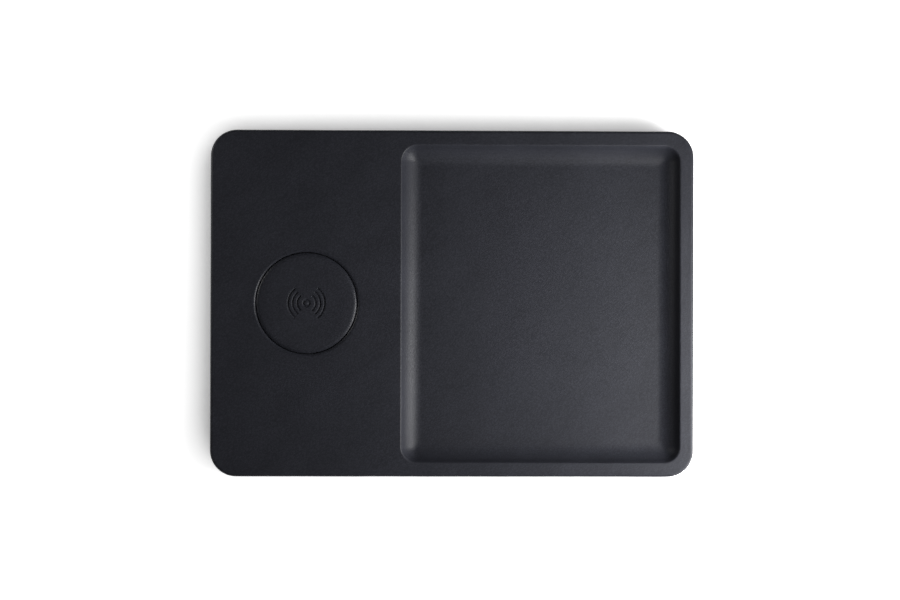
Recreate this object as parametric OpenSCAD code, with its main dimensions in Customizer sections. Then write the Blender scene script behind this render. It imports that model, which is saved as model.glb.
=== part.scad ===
// Leather-wrapped desk tray: a flat deck with a wireless charging disc on the left,
// and a coved catch-all basin on the right. Millimetres, +X right, +Y rear, +Z up.
// The origin is the middle of the outline, at the foot pads' underside.

/* [Tray outline] */
// Overall width, left to right
tray_w = 240; // [220:1:300]
// Overall depth, front to rear
tray_d = 172; // [160:1:220]
// Thickness of the core board
core_t = 12; // [11.5:0.5:16]
// Corner radius seen from above
corner_r = 13; // [11:0.5:20]
// Radius over the top edge of the leather
edge_r = 1.4; // [1.1:0.1:3]
// Radius where the leather folds under the bottom edge
fold_r = 1.2; // [1:0.1:2.4]
// Thickness of the leather
leather_t = 0.9; // [0.6:0.1:1]
// Width of the leather glued under the core
hem_w = 11; // [10.5:0.5:16]
// Corner radius of the hem's inner edge
hem_corner_r = 3; // [2:0.5:6]

/* [Basin] */
// Width of the flat deck left of the basin
deck_w = 94.6; // [92:0.2:110]
// Width of the rim right of the basin
rim_right_w = 5.8; // [5:0.1:12]
// Width of the rim in front of the basin
rim_front_w = 6.5; // [5:0.1:12]
// Width of the rim behind the basin
rim_rear_w = 7.3; // [5:0.1:12]
// Depth of the basin floor under the deck
basin_depth = 8.5; // [7.6:0.1:8.9]
// Corner radius of the basin's mouth
basin_corner_r = 8.5; // [6:0.5:14]
// Radius between the basin's floor and wall
cove_r = 9.8; // [7:0.1:10.4]
// Steepest slope of the basin's wall, from level
wall_angle = 68; // [60:1:76]
// Radius over the lip of the basin
lip_r = 1.3; // [1.1:0.1:1.6]

/* [Charging disc] */
// Distance of the disc's centre from the tray's left edge
disc_from_left = 47.6; // [47:0.1:49]
// Diameter of the leather-covered disc
disc_d = 50; // [48.6:0.2:50.6]
// Diameter of the leather-lined hole round the disc
hole_d = 51.4; // [51.2:0.1:53]
// Radius over the disc's edge
disc_edge_r = 1; // [1:0.1:1.5]
// Radius over the hole's edge
hole_edge_r = 0.5; // [0.3:0.1:0.8]
// Height of the disc above the deck
disc_rise = 0.2; // [0:0.1:0.6]
// Length of leather down the disc's side
skirt_h = 2.4; // [1.6:0.1:2.8]

/* [Wave mark] */
// Width of a pressed line
mark_line_w = 1; // [0.6:0.1:1.2]
// Depth of a pressed line
mark_depth = 0.35; // [0.1:0.05:0.5]
// Radius of the small ring, to the middle of its line
mark_ring_r = 1.6; // [1.2:0.1:1.8]
// Radius of the innermost arc
mark_first_r = 4.5; // [4:0.1:5]
// Distance between arcs
mark_pitch = 2.3; // [2:0.1:3]
// Number of arcs on each side
mark_arcs = 3; // [1:1:4]
// Angle that an arc reaches above and below level
mark_half_angle = 52; // [30:1:60]

/* [Core board] */
// Thickness of board left over the electronics pocket
deck_board_t = 3; // [2.6:0.1:3.4]
// Width of the electronics pocket
pocket_w = 71; // [70:0.5:72]
// Distance from the disc's centre to the pocket's front wall
pocket_front = 37; // [35:1:50]
// Thickness of board behind the pocket
rear_wall_t = 5; // [4:0.2:6]
// Corner radius of the pocket
pocket_r = 6; // [4:0.5:9]

/* [Base plate and feet] */
// Thickness of the base plate
plate_t = 2; // [1.8:0.1:3]
// Distance from the tray's outline in to the plate's edge
plate_inset = 2.5; // [1.5:0.1:4]
// Chamfer round the plate's lower edge
plate_chamfer = 0.5; // [0.2:0.1:0.8]
// Diameter of a foot pad
foot_d = 12; // [9:0.5:15]
// Height of a foot pad below the plate
foot_stand = 1.5; // [1:0.1:3]
// Depth of a foot pad's recess in the plate
foot_recess = 1; // [0.6:0.1:1.2]
// Distance of a foot's centre from the two nearest edges
foot_inset = 24; // [22:0.5:30]
// Radius round a foot pad's lower edge
foot_edge_r = 0.6; // [0.3:0.1:1]
// Distance of a corner screw from the two nearest edges
screw_inset = 8.5; // [8:0.1:9]

/* [Charging cup] */
// Thickness of the cup's roof under the leather
cup_roof_t = 1.2; // [1:0.1:1.4]
// Thickness of the cup's side wall
cup_wall_t = 1; // [0.8:0.1:1.2]
// Diameter of the cup's flange
flange_d = 68; // [66:0.5:70]
// Thickness of the cup's flange
flange_t = 1.5; // [1.3:0.1:2]
// Diameter of the circle that the cup's screws are on
flange_screw_circle = 61; // [60:0.5:62]
// Width of the wire notch in the cup
wire_notch_w = 6; // [5:0.5:8]

/* [Coil] */
// Number of turns
coil_turns = 10; // [4:1:10]
// Distance from one turn to the next
coil_pitch = 1.2; // [1.1:0.05:1.2]
// Diameter of the stranded wire
wire_d = 0.78; // [0.5:0.02:0.8]
// Radius of the innermost turn
coil_inner_r = 9.2; // [8.8:0.1:9.6]
// Thickness of the ferrite disc
ferrite_t = 1.5; // [1:0.1:1.6]
// Thickness of the retaining disc
retainer_t = 0.8; // [0.6:0.1:1]

/* [Circuit board] */
// Width of the board
board_w = 52; // [48:0.5:60]
// Depth of the board, without its rear tongue
board_d = 34; // [32:0.5:38]
// Thickness of the board
board_t = 1.6; // [1:0.1:1.8]
// Corner radius of the board
board_corner_r = 1.5; // [1:0.1:3]
// Width of the rear tongue that carries the socket
tongue_w = 24; // [23:0.5:25]
// Height of the spacers that hang the board from the pocket's ceiling
spacer_h = 5.6; // [5.4:0.1:5.8]

/* [Board parts] */
// Width of the controller
controller_w = 7; // [5:0.5:8]
// Height of the controller and the transistors above the board
flat_chip_h = 0.9; // [0.8:0.05:1.2]
// Width of a bridge transistor
transistor_w = 3.3; // [3:0.1:3.6]
// Width of a resonant capacitor
resonant_w = 3.2; // [2.8:0.1:3.4]
// Depth of a resonant capacitor
resonant_d = 2.5; // [2:0.1:3]
// Height of a resonant capacitor
resonant_h = 2; // [1.6:0.1:2.4]
// Width of the power inductor
inductor_w = 7.2; // [6:0.2:8]
// Height of the power inductor
inductor_h = 3.2; // [2.4:0.2:3.6]
// Width of a filter capacitor
filter_w = 3.5; // [3:0.1:3.8]
// Depth of a filter capacitor
filter_d = 2.8; // [2:0.1:3]
// Height of a filter capacitor
filter_h = 1.9; // [1.6:0.1:2.2]
// Width of the gap filler under the board
pad_w = 15; // [12:0.5:20]
// Depth of the gap filler
pad_d = 14; // [10:0.5:16]

/* [Screws] */
// Shank diameter of a bottom plate screw
base_screw_d = 2.4; // [2.2:0.1:2.6]
// Head diameter of a bottom plate screw
base_head_d = 4.6; // [4.2:0.1:4.8]
// Head height of a bottom plate screw
base_head_h = 1.3; // [1.1:0.1:1.4]
// Length of a bottom plate screw
base_screw_l = 6; // [5:0.5:7]
// Shank diameter of an inner screw
inner_screw_d = 2; // [1.8:0.1:2.2]
// Head diameter of an inner screw
inner_head_d = 3.8; // [3.6:0.1:4]
// Head height of an inner screw
inner_head_h = 1.2; // [1:0.1:1.3]
// Length of an inner screw's thread in the core board
inner_grip = 2.1; // [1.6:0.1:2.2]
// Distance of a middle screw from the basin's left edge
mid_screw_gap = 4.5; // [4:0.1:6]

/* [Power socket] */
// Width of the socket's metal shell
socket_w = 8.94; // [8.9:0.01:9]
// Height of the socket's metal shell
socket_h = 3.26; // [3.2:0.01:3.4]
// Length of the socket's metal shell
socket_l = 7.35; // [7:0.05:7.6]
// Thickness of the shell's sheet
socket_wall = 0.3; // [0.2:0.05:0.35]
// Distance that the socket sits back from the leather's face
socket_setback = 0.6; // [0.4:0.1:1.2]
// Width of the trim's face in the leather
trim_w = 21; // [20.5:0.1:22.5]
// Height of the trim's face in the leather
trim_h = 6.2; // [5.6:0.1:6.6]
// Distance of the status light from the socket's middle
light_offset = 7.4; // [7:0.1:7.8]
// Diameter of the status light's window
light_d = 1.8; // [1.4:0.1:2]

/* [Hidden] */
$fn = 96;
eps = 0.01;
// Clearances: between glued or stacked faces there is none
slip = 0.15;
screw_slip = 0.05;
// Radius round the lower edge of the disc's skirt
skirt_edge_r = 0.3;

// Levels, from the surface that the tray stands on up
z_plate = foot_stand;
z_hem = z_plate + plate_t;
z_core = z_hem + leather_t;
z_core_top = z_core + core_t;
z_deck = z_core_top + leather_t;
z_floor = z_deck - basin_depth;
z_ceiling = z_core_top - deck_board_t;
z_disc = z_deck + disc_rise;
z_cup = z_disc - leather_t;
z_flange = z_ceiling - flange_t;
z_coil = z_cup - cup_roof_t - wire_d / 2;
z_ferrite = z_cup - cup_roof_t - wire_d;
z_retainer = z_ferrite - ferrite_t;
z_board = z_ceiling - spacer_h;
z_socket = z_board + socket_h / 2;

// Plan positions
disc_x = disc_from_left - tray_w / 2;
basin_left = deck_w - tray_w / 2;
basin_right = tray_w / 2 - rim_right_w;
basin_front = rim_front_w - tray_d / 2;
basin_rear = tray_d / 2 - rim_rear_w;
core_rear = tray_d / 2 - leather_t;
pocket_rear = core_rear - rear_wall_t;
port_plate_t = 2;
port_plate_w = 30;
stop_w = 1.5;
port_back = core_rear - port_plate_t;
board_gap = 0.5;
board_rear = pocket_rear - board_gap;
tongue_gap = 0.3;
tongue_rear = port_back - tongue_gap;
socket_mouth = tray_d / 2 - socket_setback;

// The cup and what it holds
notch_above = 0.6;
cup_r = disc_d / 2 - leather_t;
bowl_r = cup_r - cup_wall_t;
core_hole_r = hole_d / 2 + leather_t;
ferrite_r = bowl_r - slip;

// Screws: flats, tips, recesses and the room left past a tip
head_edge = 0.2;
pan_round = 0.5;
base_tip = 1;
inner_tip = 0.6;
base_recess_d = 2.4;
base_recess_h = 0.9;
inner_recess_d = 2;
inner_recess_h = 0.7;
tip_room = 0.3;
board_hole_inset = 3;
spacer_d = 4.6;
mid_screw_x = basin_left - mid_screw_gap;

// Board parts: places from the socket's middle and from the board's rear edge
controller_x = -2;
controller_back = 17;
transistor_x = 8;
transistor_back = 14;
transistor_pitch_x = 4.5;
transistor_pitch_y = 5;
resonant_x = 4;
resonant_back = 26;
resonant_pitch = 4;
inductor_x = -15;
inductor_back = 12;
inductor_dimple_d = 4;
inductor_dimple_h = 0.2;
filter_x = -18;
filter_back = 20;
filter_pitch = 4.2;
resistor_l = 1;
resistor_w = 0.5;
resistor_h = 0.35;
resistor_x = -6;
resistor_pitch = 2;
resistor_back = 9;
resistor_row_gap = 14;
pad_x = -2;
pad_back = 17;

// Shapes that the pieces share

module rounded_rect(w, d, r) {
    square([w - 2 * r, d], center = true);
    square([w, d - 2 * r], center = true);
    for (sx = [-1, 1], sy = [-1, 1])
        translate([sx * (w / 2 - r), sy * (d / 2 - r)]) circle(r);
}

module stadium(w, h) {
    square([w - h, h], center = true);
    for (s = [-1, 1]) translate([s * (w - h) / 2, 0]) circle(h / 2);
}

// A stadium bar that runs along Y from y0 to y1, centred on height z
module stadium_bar(w, h, y0, y1, z) {
    translate([disc_x, y1, z]) rotate([90, 0, 0]) linear_extrude(y1 - y0) stadium(w, h);
}

// A slab whose edge section is swept round a rounded rectangle. The section is the 2D child:
// x is the distance out from the corner axes, y is height, and at x = 0 it spans z0 to z1.
module swept_slab(w, d, r, z0, z1) {
    for (i = [0 : 3]) {
        sx = (i == 0 || i == 3) ? 1 : -1;
        sy = i < 2 ? 1 : -1;
        translate([sx * (w / 2 - r), sy * (d / 2 - r), 0])
            rotate(90 * i) rotate_extrude(angle = 90) children();
    }
    swept_bar(w, d, r, z0, z1) children();
    rotate(90) swept_bar(d, w, r, z0, z1) children();
}

module swept_bar(w, d, r, z0, z1) {
    rotate([90, 0, 0]) linear_extrude(d - 2 * r, center = true) {
        translate([r - w / 2, z0]) square([w - 2 * r, z1 - z0]);
        for (m = [0, 1]) mirror([m, 0]) translate([w / 2 - r, 0]) children();
    }
}

// Section with its upper and lower corners rounded
module round_section(reach, z0, z1, top_r, low_r) {
    translate([0, z0 + low_r]) square([reach, z1 - z0 - top_r - low_r]);
    translate([0, z1 - top_r]) square([reach - top_r, top_r]);
    translate([0, z0]) square([reach - low_r, low_r]);
    translate([reach - top_r, z1 - top_r]) circle(top_r);
    translate([reach - low_r, z0 + low_r]) circle(low_r);
}

// The tray's outer form, moved in by a distance
module outer_form(in) {
    r = corner_r - in;
    swept_slab(tray_w - 2 * in, tray_d - 2 * in, r, z_hem + in, z_deck - in)
        round_section(r, z_hem + in, z_deck - in, edge_r - in, fold_r - in);
}

// The basin's wall: straight between the cove and the lip
wall_l = (basin_depth - (cove_r + lip_r) * (1 - cos(wall_angle))) / sin(wall_angle);
cove_w = (cove_r + lip_r) * sin(wall_angle) + wall_l * cos(wall_angle);

// Section of the space in the basin, moved out by a distance. x = 0 is the corner axis.
module basin_section(out, inner_x) {
    top = z_deck - out;
    low = z_floor - out;
    rc = basin_corner_r + out;
    rf = cove_r + out;
    rl = lip_r - out;
    tangent_x = rc - cove_w;
    cove_end = [tangent_x + rf * sin(wall_angle), low + rf * (1 - cos(wall_angle))];
    wall_end = cove_end + wall_l * [cos(wall_angle), sin(wall_angle)];
    difference() {
        polygon([
            [inner_x, low], [tangent_x, low], cove_end, wall_end,
            [rc, top], [rc, top + 1], [inner_x, top + 1]
        ]);
        translate([rc, top - rl]) circle(rl);
    }
    intersection() {
        translate([tangent_x, low + rf]) circle(rf);
        polygon([[tangent_x, low], cove_end, [cove_end[0], low]]);
    }
}

// The space in the basin, moved out by a distance. Where the cove is wider than the corner
// radius, the turned corners end a little above the floor, and two troughs meet in a mitre.
least_turn_r = 0.3;
module basin_space(out) {
    w = basin_right - basin_left + 2 * out;
    d = basin_rear - basin_front + 2 * out;
    rc = basin_corner_r + out;
    rf = cove_r + out;
    past = max(0, cove_w - rc + least_turn_r);
    z_mitre = z_floor - out + rf - sqrt(rf * rf - past * past);
    translate([(basin_left + basin_right) / 2, (basin_front + basin_rear) / 2, 0]) {
        intersection() {
            union() {
                for (i = [0 : 3]) {
                    sx = (i == 0 || i == 3) ? 1 : -1;
                    sy = i < 2 ? 1 : -1;
                    translate([sx * (w / 2 - rc), sy * (d / 2 - rc), 0])
                        rotate(90 * i) rotate_extrude(angle = 90)
                            intersection() {
                                basin_section(out, min(0, rc - cove_w) - 1);
                                translate([0, z_floor - 5]) square([rc, basin_depth + 10]);
                            }
                }
                basin_trough(w, d - 2 * rc, rc, out);
                rotate(90) basin_trough(d, w - 2 * rc, rc, out);
            }
            translate([-w / 2 - 1, -d / 2 - 1, z_mitre]) cube([w + 2, d + 2, basin_depth + 5]);
        }
        if (past > 0) intersection() {
            basin_trough(w, d, rc, out);
            rotate(90) basin_trough(d, w, rc, out);
            translate([-w / 2 - 1, -d / 2 - 1, z_floor - 2])
                cube([w + 2, d + 2, z_mitre - z_floor + 2]);
        }
    }
}

// A trough as wide as the basin, for a stretch of its other side
module basin_trough(w, stretch, rc, out) {
    rotate([90, 0, 0]) linear_extrude(stretch, center = true)
        for (m = [0, 1]) mirror([m, 0])
            translate([w / 2 - rc, 0]) basin_section(out, rc - w / 2);
}

module core_form() {
    difference() {
        outer_form(leather_t);
        basin_space(leather_t);
    }
}

// A round wire that starts at the origin and heads along +Y. Each step is a straight run, a
// roll about the heading, and a bend toward -X of the rolled frame.
module wire(d, bend_r, steps, i = 0) {
    if (i < len(steps)) {
        run = steps[i][0];
        roll = steps[i][1];
        bend = steps[i][2];
        if (run > 0) rotate([-90, 0, 0]) cylinder(d = d, h = run);
        translate([0, run, 0]) rotate([0, roll, 0]) {
            if (bend > 0) translate([-bend_r, 0, 0])
                rotate_extrude(angle = bend) translate([bend_r, 0]) circle(d = d);
            translate([-bend_r, 0, 0]) rotate(bend) translate([bend_r, 0, 0])
                wire(d, bend_r, steps, i + 1);
        }
    }
}

// A countersunk or pan-head screw that points up, its head's face at z = 0
module screw_recess(d, h) {
    for (a = [0, 90]) rotate(a) translate([-d / 2, -d / 8, -eps]) cube([d, d / 4, h]);
}

module countersunk_screw() {
    difference() {
        rotate_extrude() polygon([
            [0, 0], [base_head_d / 2, 0], [base_head_d / 2, head_edge],
            [base_screw_d / 2, base_head_h], [base_screw_d / 2, base_screw_l - base_tip],
            [0, base_screw_l]
        ]);
        screw_recess(base_recess_d, base_recess_h);
    }
}

module pan_screw(shank) {
    end = inner_head_h + shank;
    difference() {
        rotate_extrude() polygon([
            [0, 0], [inner_head_d / 2 - pan_round, 0], [inner_head_d / 2, pan_round],
            [inner_head_d / 2, inner_head_h], [inner_screw_d / 2, inner_head_h],
            [inner_screw_d / 2, end - inner_tip], [0, end]
        ]);
        screw_recess(inner_recess_d, inner_recess_h);
    }
}

// Places that holes and screws share
module at_base_screws() {
    for (sx = [-1, 1], sy = [-1, 1])
        translate([sx * (tray_w / 2 - screw_inset), sy * (tray_d / 2 - screw_inset), z_plate])
            children();
    for (sy = [-1, 1])
        translate([mid_screw_x, sy * (tray_d / 2 - screw_inset), z_plate]) children();
}

module at_cup_screws(z) {
    for (i = [0 : 3])
        translate([disc_x, 0, z]) rotate(45 + 90 * i)
            translate([flange_screw_circle / 2, 0, 0]) children();
}

module at_board_holes(z) {
    for (sx = [-1, 1], y = [board_rear - board_hole_inset, board_rear - board_d + board_hole_inset])
        translate([disc_x + sx * (board_w / 2 - board_hole_inset), y, z]) children();
}

module foot_at(sx, sy) {
    translate([sx * (tray_w / 2 - foot_inset), sy * (tray_d / 2 - foot_inset), 0]) children();
}

// Covers and body

module leather_cover() {
    color([0.11, 0.11, 0.12]) difference() {
        union() {
            difference() {
                outer_form(0);
                basin_space(0);
                core_form();
            }
            translate([disc_x, 0, z_ceiling]) cylinder(r = core_hole_r, h = z_core_top - z_ceiling);
        }
        disc_hole(z_ceiling);
        hem_window();
        stadium_bar(trim_w + 2 * slip, trim_h + 2 * slip, core_rear - 3, tray_d / 2 + 1, z_socket);
        at_base_screws() cylinder(d = base_screw_d + 2 * screw_slip, h = base_screw_l + tip_room);
    }
}

// The hole round the disc, with its rounded edge
module disc_hole(z0) {
    translate([disc_x, 0, 0]) {
        translate([0, 0, z0 - 1]) cylinder(d = hole_d, h = z_deck - z0 + 2);
        rotate_extrude() translate([hole_d / 2, z_deck - hole_edge_r]) difference() {
            translate([-eps, 0]) square([hole_edge_r + eps, hole_edge_r + 1]);
            translate([hole_edge_r, 0]) circle(hole_edge_r);
        }
    }
}

module hem_window() {
    translate([0, 0, z_hem - 1]) linear_extrude(1 + leather_t)
        rounded_rect(tray_w - 2 * hem_w, tray_d - 2 * hem_w, hem_corner_r);
}

module core_board() {
    color([0.55, 0.42, 0.28]) difference() {
        core_form();
        translate([disc_x, 0, z_core - 1]) cylinder(r = core_hole_r, h = core_t + 2);
        electronics_pocket();
        at_base_screws() cylinder(d = base_screw_d + 2 * screw_slip, h = base_screw_l + tip_room);
        at_cup_screws(z_flange) inner_screw_hole(flange_t);
        at_board_holes(z_board) inner_screw_hole(spacer_h);
    }
}

// Hole in the core board for a screw that comes up through a thickness below it
module inner_screw_hole(below) {
    cylinder(d = inner_screw_d + 2 * screw_slip, h = below + inner_grip + tip_room);
}

module electronics_pocket() {
    depth = pocket_rear + pocket_front;
    translate([disc_x, (pocket_rear - pocket_front) / 2, z_core - 1])
        linear_extrude(z_ceiling - z_core + 1) rounded_rect(pocket_w, depth, pocket_r);
    translate([disc_x - port_plate_w / 2 + stop_w, pocket_rear - 5, z_core - 1])
        cube([port_plate_w - 2 * stop_w, rear_wall_t + 10, z_ceiling - z_core + 1]);
    translate([disc_x - port_plate_w / 2, port_back, z_core - 1])
        cube([port_plate_w, port_plate_t + 5, z_ceiling - z_core + 1]);
}

module base_plate() {
    w = tray_w - 2 * plate_inset;
    d = tray_d - 2 * plate_inset;
    r = corner_r - plate_inset;
    color([0.09, 0.09, 0.1]) difference() {
        swept_slab(w, d, r, z_plate, z_hem) polygon([
            [0, z_plate], [r - plate_chamfer, z_plate], [r, z_plate + plate_chamfer],
            [r, z_hem], [0, z_hem]
        ]);
        for (sx = [-1, 1], sy = [-1, 1])
            foot_at(sx, sy) translate([0, 0, z_plate - 1])
                cylinder(d = foot_d + 2 * slip, h = foot_recess + 1);
        at_base_screws() {
            translate([0, 0, -1]) cylinder(d = base_screw_d + 2 * slip, h = plate_t + 2);
            rotate_extrude() polygon([
                [0, -1], [base_head_d / 2 + slip, -1], [base_head_d / 2 + slip, head_edge],
                [base_screw_d / 2 + slip, base_head_h], [0, base_head_h]
            ]);
        }
    }
}

module base_screws() {
    color([0.25, 0.25, 0.27]) at_base_screws() countersunk_screw();
}

module foot_pad(sx, sy) {
    r = foot_d / 2;
    h = foot_stand + foot_recess;
    color([0.07, 0.07, 0.07]) foot_at(sx, sy) rotate_extrude() {
        square([r - foot_edge_r, h]);
        translate([0, foot_edge_r]) square([r, h - foot_edge_r]);
        translate([r - foot_edge_r, foot_edge_r]) circle(foot_edge_r);
    }
}

// Charging disc

module disc_leather() {
    color([0.12, 0.12, 0.13]) difference() {
        translate([disc_x, 0, 0]) rotate_extrude() difference() {
            round_section(disc_d / 2, z_cup - skirt_h, z_disc, disc_edge_r, skirt_edge_r);
            translate([-1, z_cup - skirt_h - 1]) square([cup_r + 1, skirt_h + 1]);
        }
        wave_mark();
    }
}

// A small ring with arcs on both sides, pressed into the leather
module wave_mark() {
    translate([disc_x, 0, z_disc - mark_depth]) {
        rotate_extrude() translate([mark_ring_r - mark_line_w / 2, 0]) square([mark_line_w, mark_depth + 1]);
        for (i = [0 : mark_arcs - 1], side = [0, 180])
            rotate(side - mark_half_angle) rotate_extrude(angle = 2 * mark_half_angle)
                translate([mark_first_r + i * mark_pitch - mark_line_w / 2, 0])
                    square([mark_line_w, mark_depth + 1]);
    }
}

module charging_cup() {
    color([0.16, 0.16, 0.17]) difference() {
        translate([disc_x, 0, z_flange]) union() {
            cylinder(r = cup_r, h = z_cup - z_flange);
            cylinder(d = flange_d, h = flange_t);
        }
        translate([disc_x, 0, z_flange - 1]) cylinder(r = bowl_r, h = z_cup - cup_roof_t - z_flange + 1);
        translate([disc_x - wire_notch_w / 2, bowl_r - 2, z_flange - 1])
            cube([wire_notch_w, flange_d / 2, flange_t + notch_above + 1]);
        at_cup_screws(z_flange - 1) cylinder(d = inner_screw_d + 2 * screw_slip, h = flange_t + 2);
    }
}

// A spiral of half turns, each half a pitch wider than the one before, about two centres.
// Its two ends bend down through the ferrite's slot and then to the rear.
coil_outer_r = coil_inner_r + coil_turns * coil_pitch;
tail_x = 1.4;
inner_tail = 1;
outer_tail = 0.3;
z_slot = z_retainer + 0.43;
tail_bend = (z_coil - z_slot) / 2;
module charging_coil() {
    color([0.72, 0.38, 0.2]) {
        for (i = [0 : 2 * coil_turns - 1])
            translate([disc_x, i % 2 == 0 ? 0 : -coil_pitch / 2, z_coil])
                rotate(90 + 180 * i) rotate_extrude(angle = 180)
                    translate([coil_inner_r + (i % 2 == 0 ? i : i + 1) * coil_pitch / 2, 0])
                        circle(d = wire_d);
        translate([disc_x, coil_inner_r, z_coil]) rotate([0, -90, -90])
            wire(wire_d, tail_bend, [[tail_x - tail_bend, 0, 90], [0, 90, 90], [inner_tail, 0, 0]]);
        translate([disc_x, coil_outer_r, z_coil]) rotate([0, -90, 90])
            wire(wire_d, tail_bend, [[tail_x - tail_bend, 0, 90], [0, -90, 90], [outer_tail, 0, 0]]);
    }
}

slot_w = 4.4;
retainer_notch = 3;
retainer_hole_d = 8;
module ferrite_shield() {
    color([0.2, 0.2, 0.21]) translate([disc_x, 0, z_retainer]) difference() {
        cylinder(r = ferrite_r, h = ferrite_t);
        translate([-slot_w / 2, 0, -1]) cube([slot_w, ferrite_r + 1, ferrite_t + 2]);
        translate([0, 0, -1]) cylinder(d = slot_w, h = ferrite_t + 2);
    }
}

module coil_retainer() {
    color([0.2, 0.2, 0.22]) translate([disc_x, 0, z_retainer - retainer_t]) difference() {
        cylinder(r = ferrite_r, h = retainer_t);
        translate([-wire_notch_w / 2, ferrite_r - retainer_notch, -1])
            cube([wire_notch_w, retainer_notch + 1, retainer_t + 2]);
        translate([0, 0, -1]) cylinder(d = retainer_hole_d, h = retainer_t + 2);
    }
}

// Sleeved wires from the coil's two ends to the board. They step down to pass the cup's
// notch and bend down to the board.
lead_d = 0.8;
lead_bend = 1.5;
z_notch = z_flange + flange_t / 2;
lead_drop = z_slot - z_notch;
step_start_y = cup_r - 1;
pad_inset = 3;
pad_y = board_rear - board_d + pad_inset;
step_angle = 25;
sensor_lead_d = 0.4;
sensor_lead_x = 0.4;
bead_r = 1;
function step_run(drop) = (drop - 2 * lead_bend * (1 - cos(step_angle))) / sin(step_angle);
function step_reach(drop) = 2 * lead_bend * sin(step_angle) + step_run(drop) * cos(step_angle);
module lead_to_board(x, y, d) {
    flat_run = pad_y - lead_bend - step_start_y - step_reach(lead_drop);
    translate([disc_x + x, y, z_slot]) rotate([0, -90, 0]) wire(d, lead_bend, [
        [step_start_y - y, 0, step_angle],
        [step_run(lead_drop), 180, step_angle],
        [flat_run, 180, 90],
        [z_notch - lead_bend - z_board, 0, 0]
    ]);
}

module coil_leads() {
    color([0.75, 0.1, 0.08]) {
        lead_to_board(tail_x, coil_inner_r + tail_bend + inner_tail, lead_d);
        lead_to_board(-tail_x, coil_outer_r + tail_bend + outer_tail, lead_d);
    }
}

module coil_thermistor() {
    color([0.1, 0.35, 0.16]) {
        translate([disc_x, 0, z_slot]) sphere(bead_r);
        for (s = [-1, 1]) lead_to_board(s * sensor_lead_x, bead_r / 2, sensor_lead_d);
    }
}

module disc_screws() {
    color([0.7, 0.7, 0.72]) at_cup_screws(z_flange - inner_head_h) pan_screw(flange_t + inner_grip);
}

// Electronics

module circuit_board() {
    color([0.04, 0.22, 0.12]) difference() {
        translate([0, 0, z_board - board_t]) union() {
            translate([disc_x, board_rear - board_d / 2, 0])
                linear_extrude(board_t) rounded_rect(board_w, board_d, board_corner_r);
            translate([disc_x - tongue_w / 2, board_rear - board_d / 2, 0])
                cube([tongue_w, tongue_rear - board_rear + board_d / 2, board_t]);
        }
        at_board_holes(z_board - board_t - 1) cylinder(d = inner_screw_d + 2 * slip, h = board_t + 2);
    }
}

module board_spacers() {
    color([0.85, 0.85, 0.82]) at_board_holes(z_board) difference() {
        cylinder(d = spacer_d, h = spacer_h);
        translate([0, 0, -1]) cylinder(d = inner_screw_d + 2 * slip, h = spacer_h + 2);
    }
}

module board_screws() {
    color([0.7, 0.7, 0.72]) at_board_holes(z_board - board_t - inner_head_h)
        pan_screw(board_t + spacer_h + inner_grip);
}

// A block standing on the board, placed from the socket's middle and the board's rear edge
module on_board(x, back, size) {
    translate([disc_x + x - size[0] / 2, board_rear - back - size[1] / 2, z_board]) cube(size);
}

module controller_chip() {
    color([0.06, 0.06, 0.07])
        on_board(controller_x, controller_back, [controller_w, controller_w, flat_chip_h]);
}

module bridge_transistors() {
    color([0.1, 0.1, 0.11]) for (i = [0, 1], j = [0, 1])
        on_board(
            transistor_x + i * transistor_pitch_x, transistor_back + j * transistor_pitch_y,
            [transistor_w, transistor_w, flat_chip_h]
        );
}

module resonant_capacitors() {
    color([0.6, 0.45, 0.3]) for (i = [0 : 4])
        on_board(resonant_x + i * resonant_pitch, resonant_back, [resonant_w, resonant_d, resonant_h]);
}

module power_inductor() {
    color([0.25, 0.25, 0.26]) difference() {
        on_board(inductor_x, inductor_back, [inductor_w, inductor_w, inductor_h]);
        translate([disc_x + inductor_x, board_rear - inductor_back, z_board + inductor_h - inductor_dimple_h])
            cylinder(d = inductor_dimple_d, h = 1);
    }
}

module filter_capacitors() {
    color([0.75, 0.55, 0.15]) for (i = [0 : 2])
        on_board(filter_x + i * filter_pitch, filter_back, [filter_w, filter_d, filter_h]);
}

module chip_resistors() {
    color([0.12, 0.12, 0.13]) for (i = [0 : 5], j = [0, 1])
        on_board(
            resistor_x + i * resistor_pitch, resistor_back + j * resistor_row_gap,
            [resistor_l, resistor_w, resistor_h]
        );
}

module thermal_pad() {
    color([0.55, 0.6, 0.68])
        translate([disc_x + pad_x - pad_w / 2, board_rear - pad_back - pad_d / 2, z_hem])
            cube([pad_w, pad_d, z_board - board_t - z_hem]);
}

// Power socket and its trim

socket_back = socket_mouth - socket_l;
socket_back_t = 1.2;
tongue_setback = 1.2;
module usb_socket_shell() {
    color([0.75, 0.75, 0.77]) difference() {
        stadium_bar(socket_w, socket_h, socket_back, socket_mouth, z_socket);
        stadium_bar(
            socket_w - 2 * socket_wall, socket_h - 2 * socket_wall,
            socket_back + socket_back_t, socket_mouth + 1, z_socket
        );
    }
}

tongue_t = 0.7;
socket_tongue_w = 6.7;
module usb_socket_tongue() {
    color([0.08, 0.08, 0.09])
        translate([disc_x - socket_tongue_w / 2, socket_back + socket_back_t, z_socket - tongue_t / 2])
            cube([socket_tongue_w, socket_l - socket_back_t - tongue_setback, tongue_t]);
}

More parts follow.
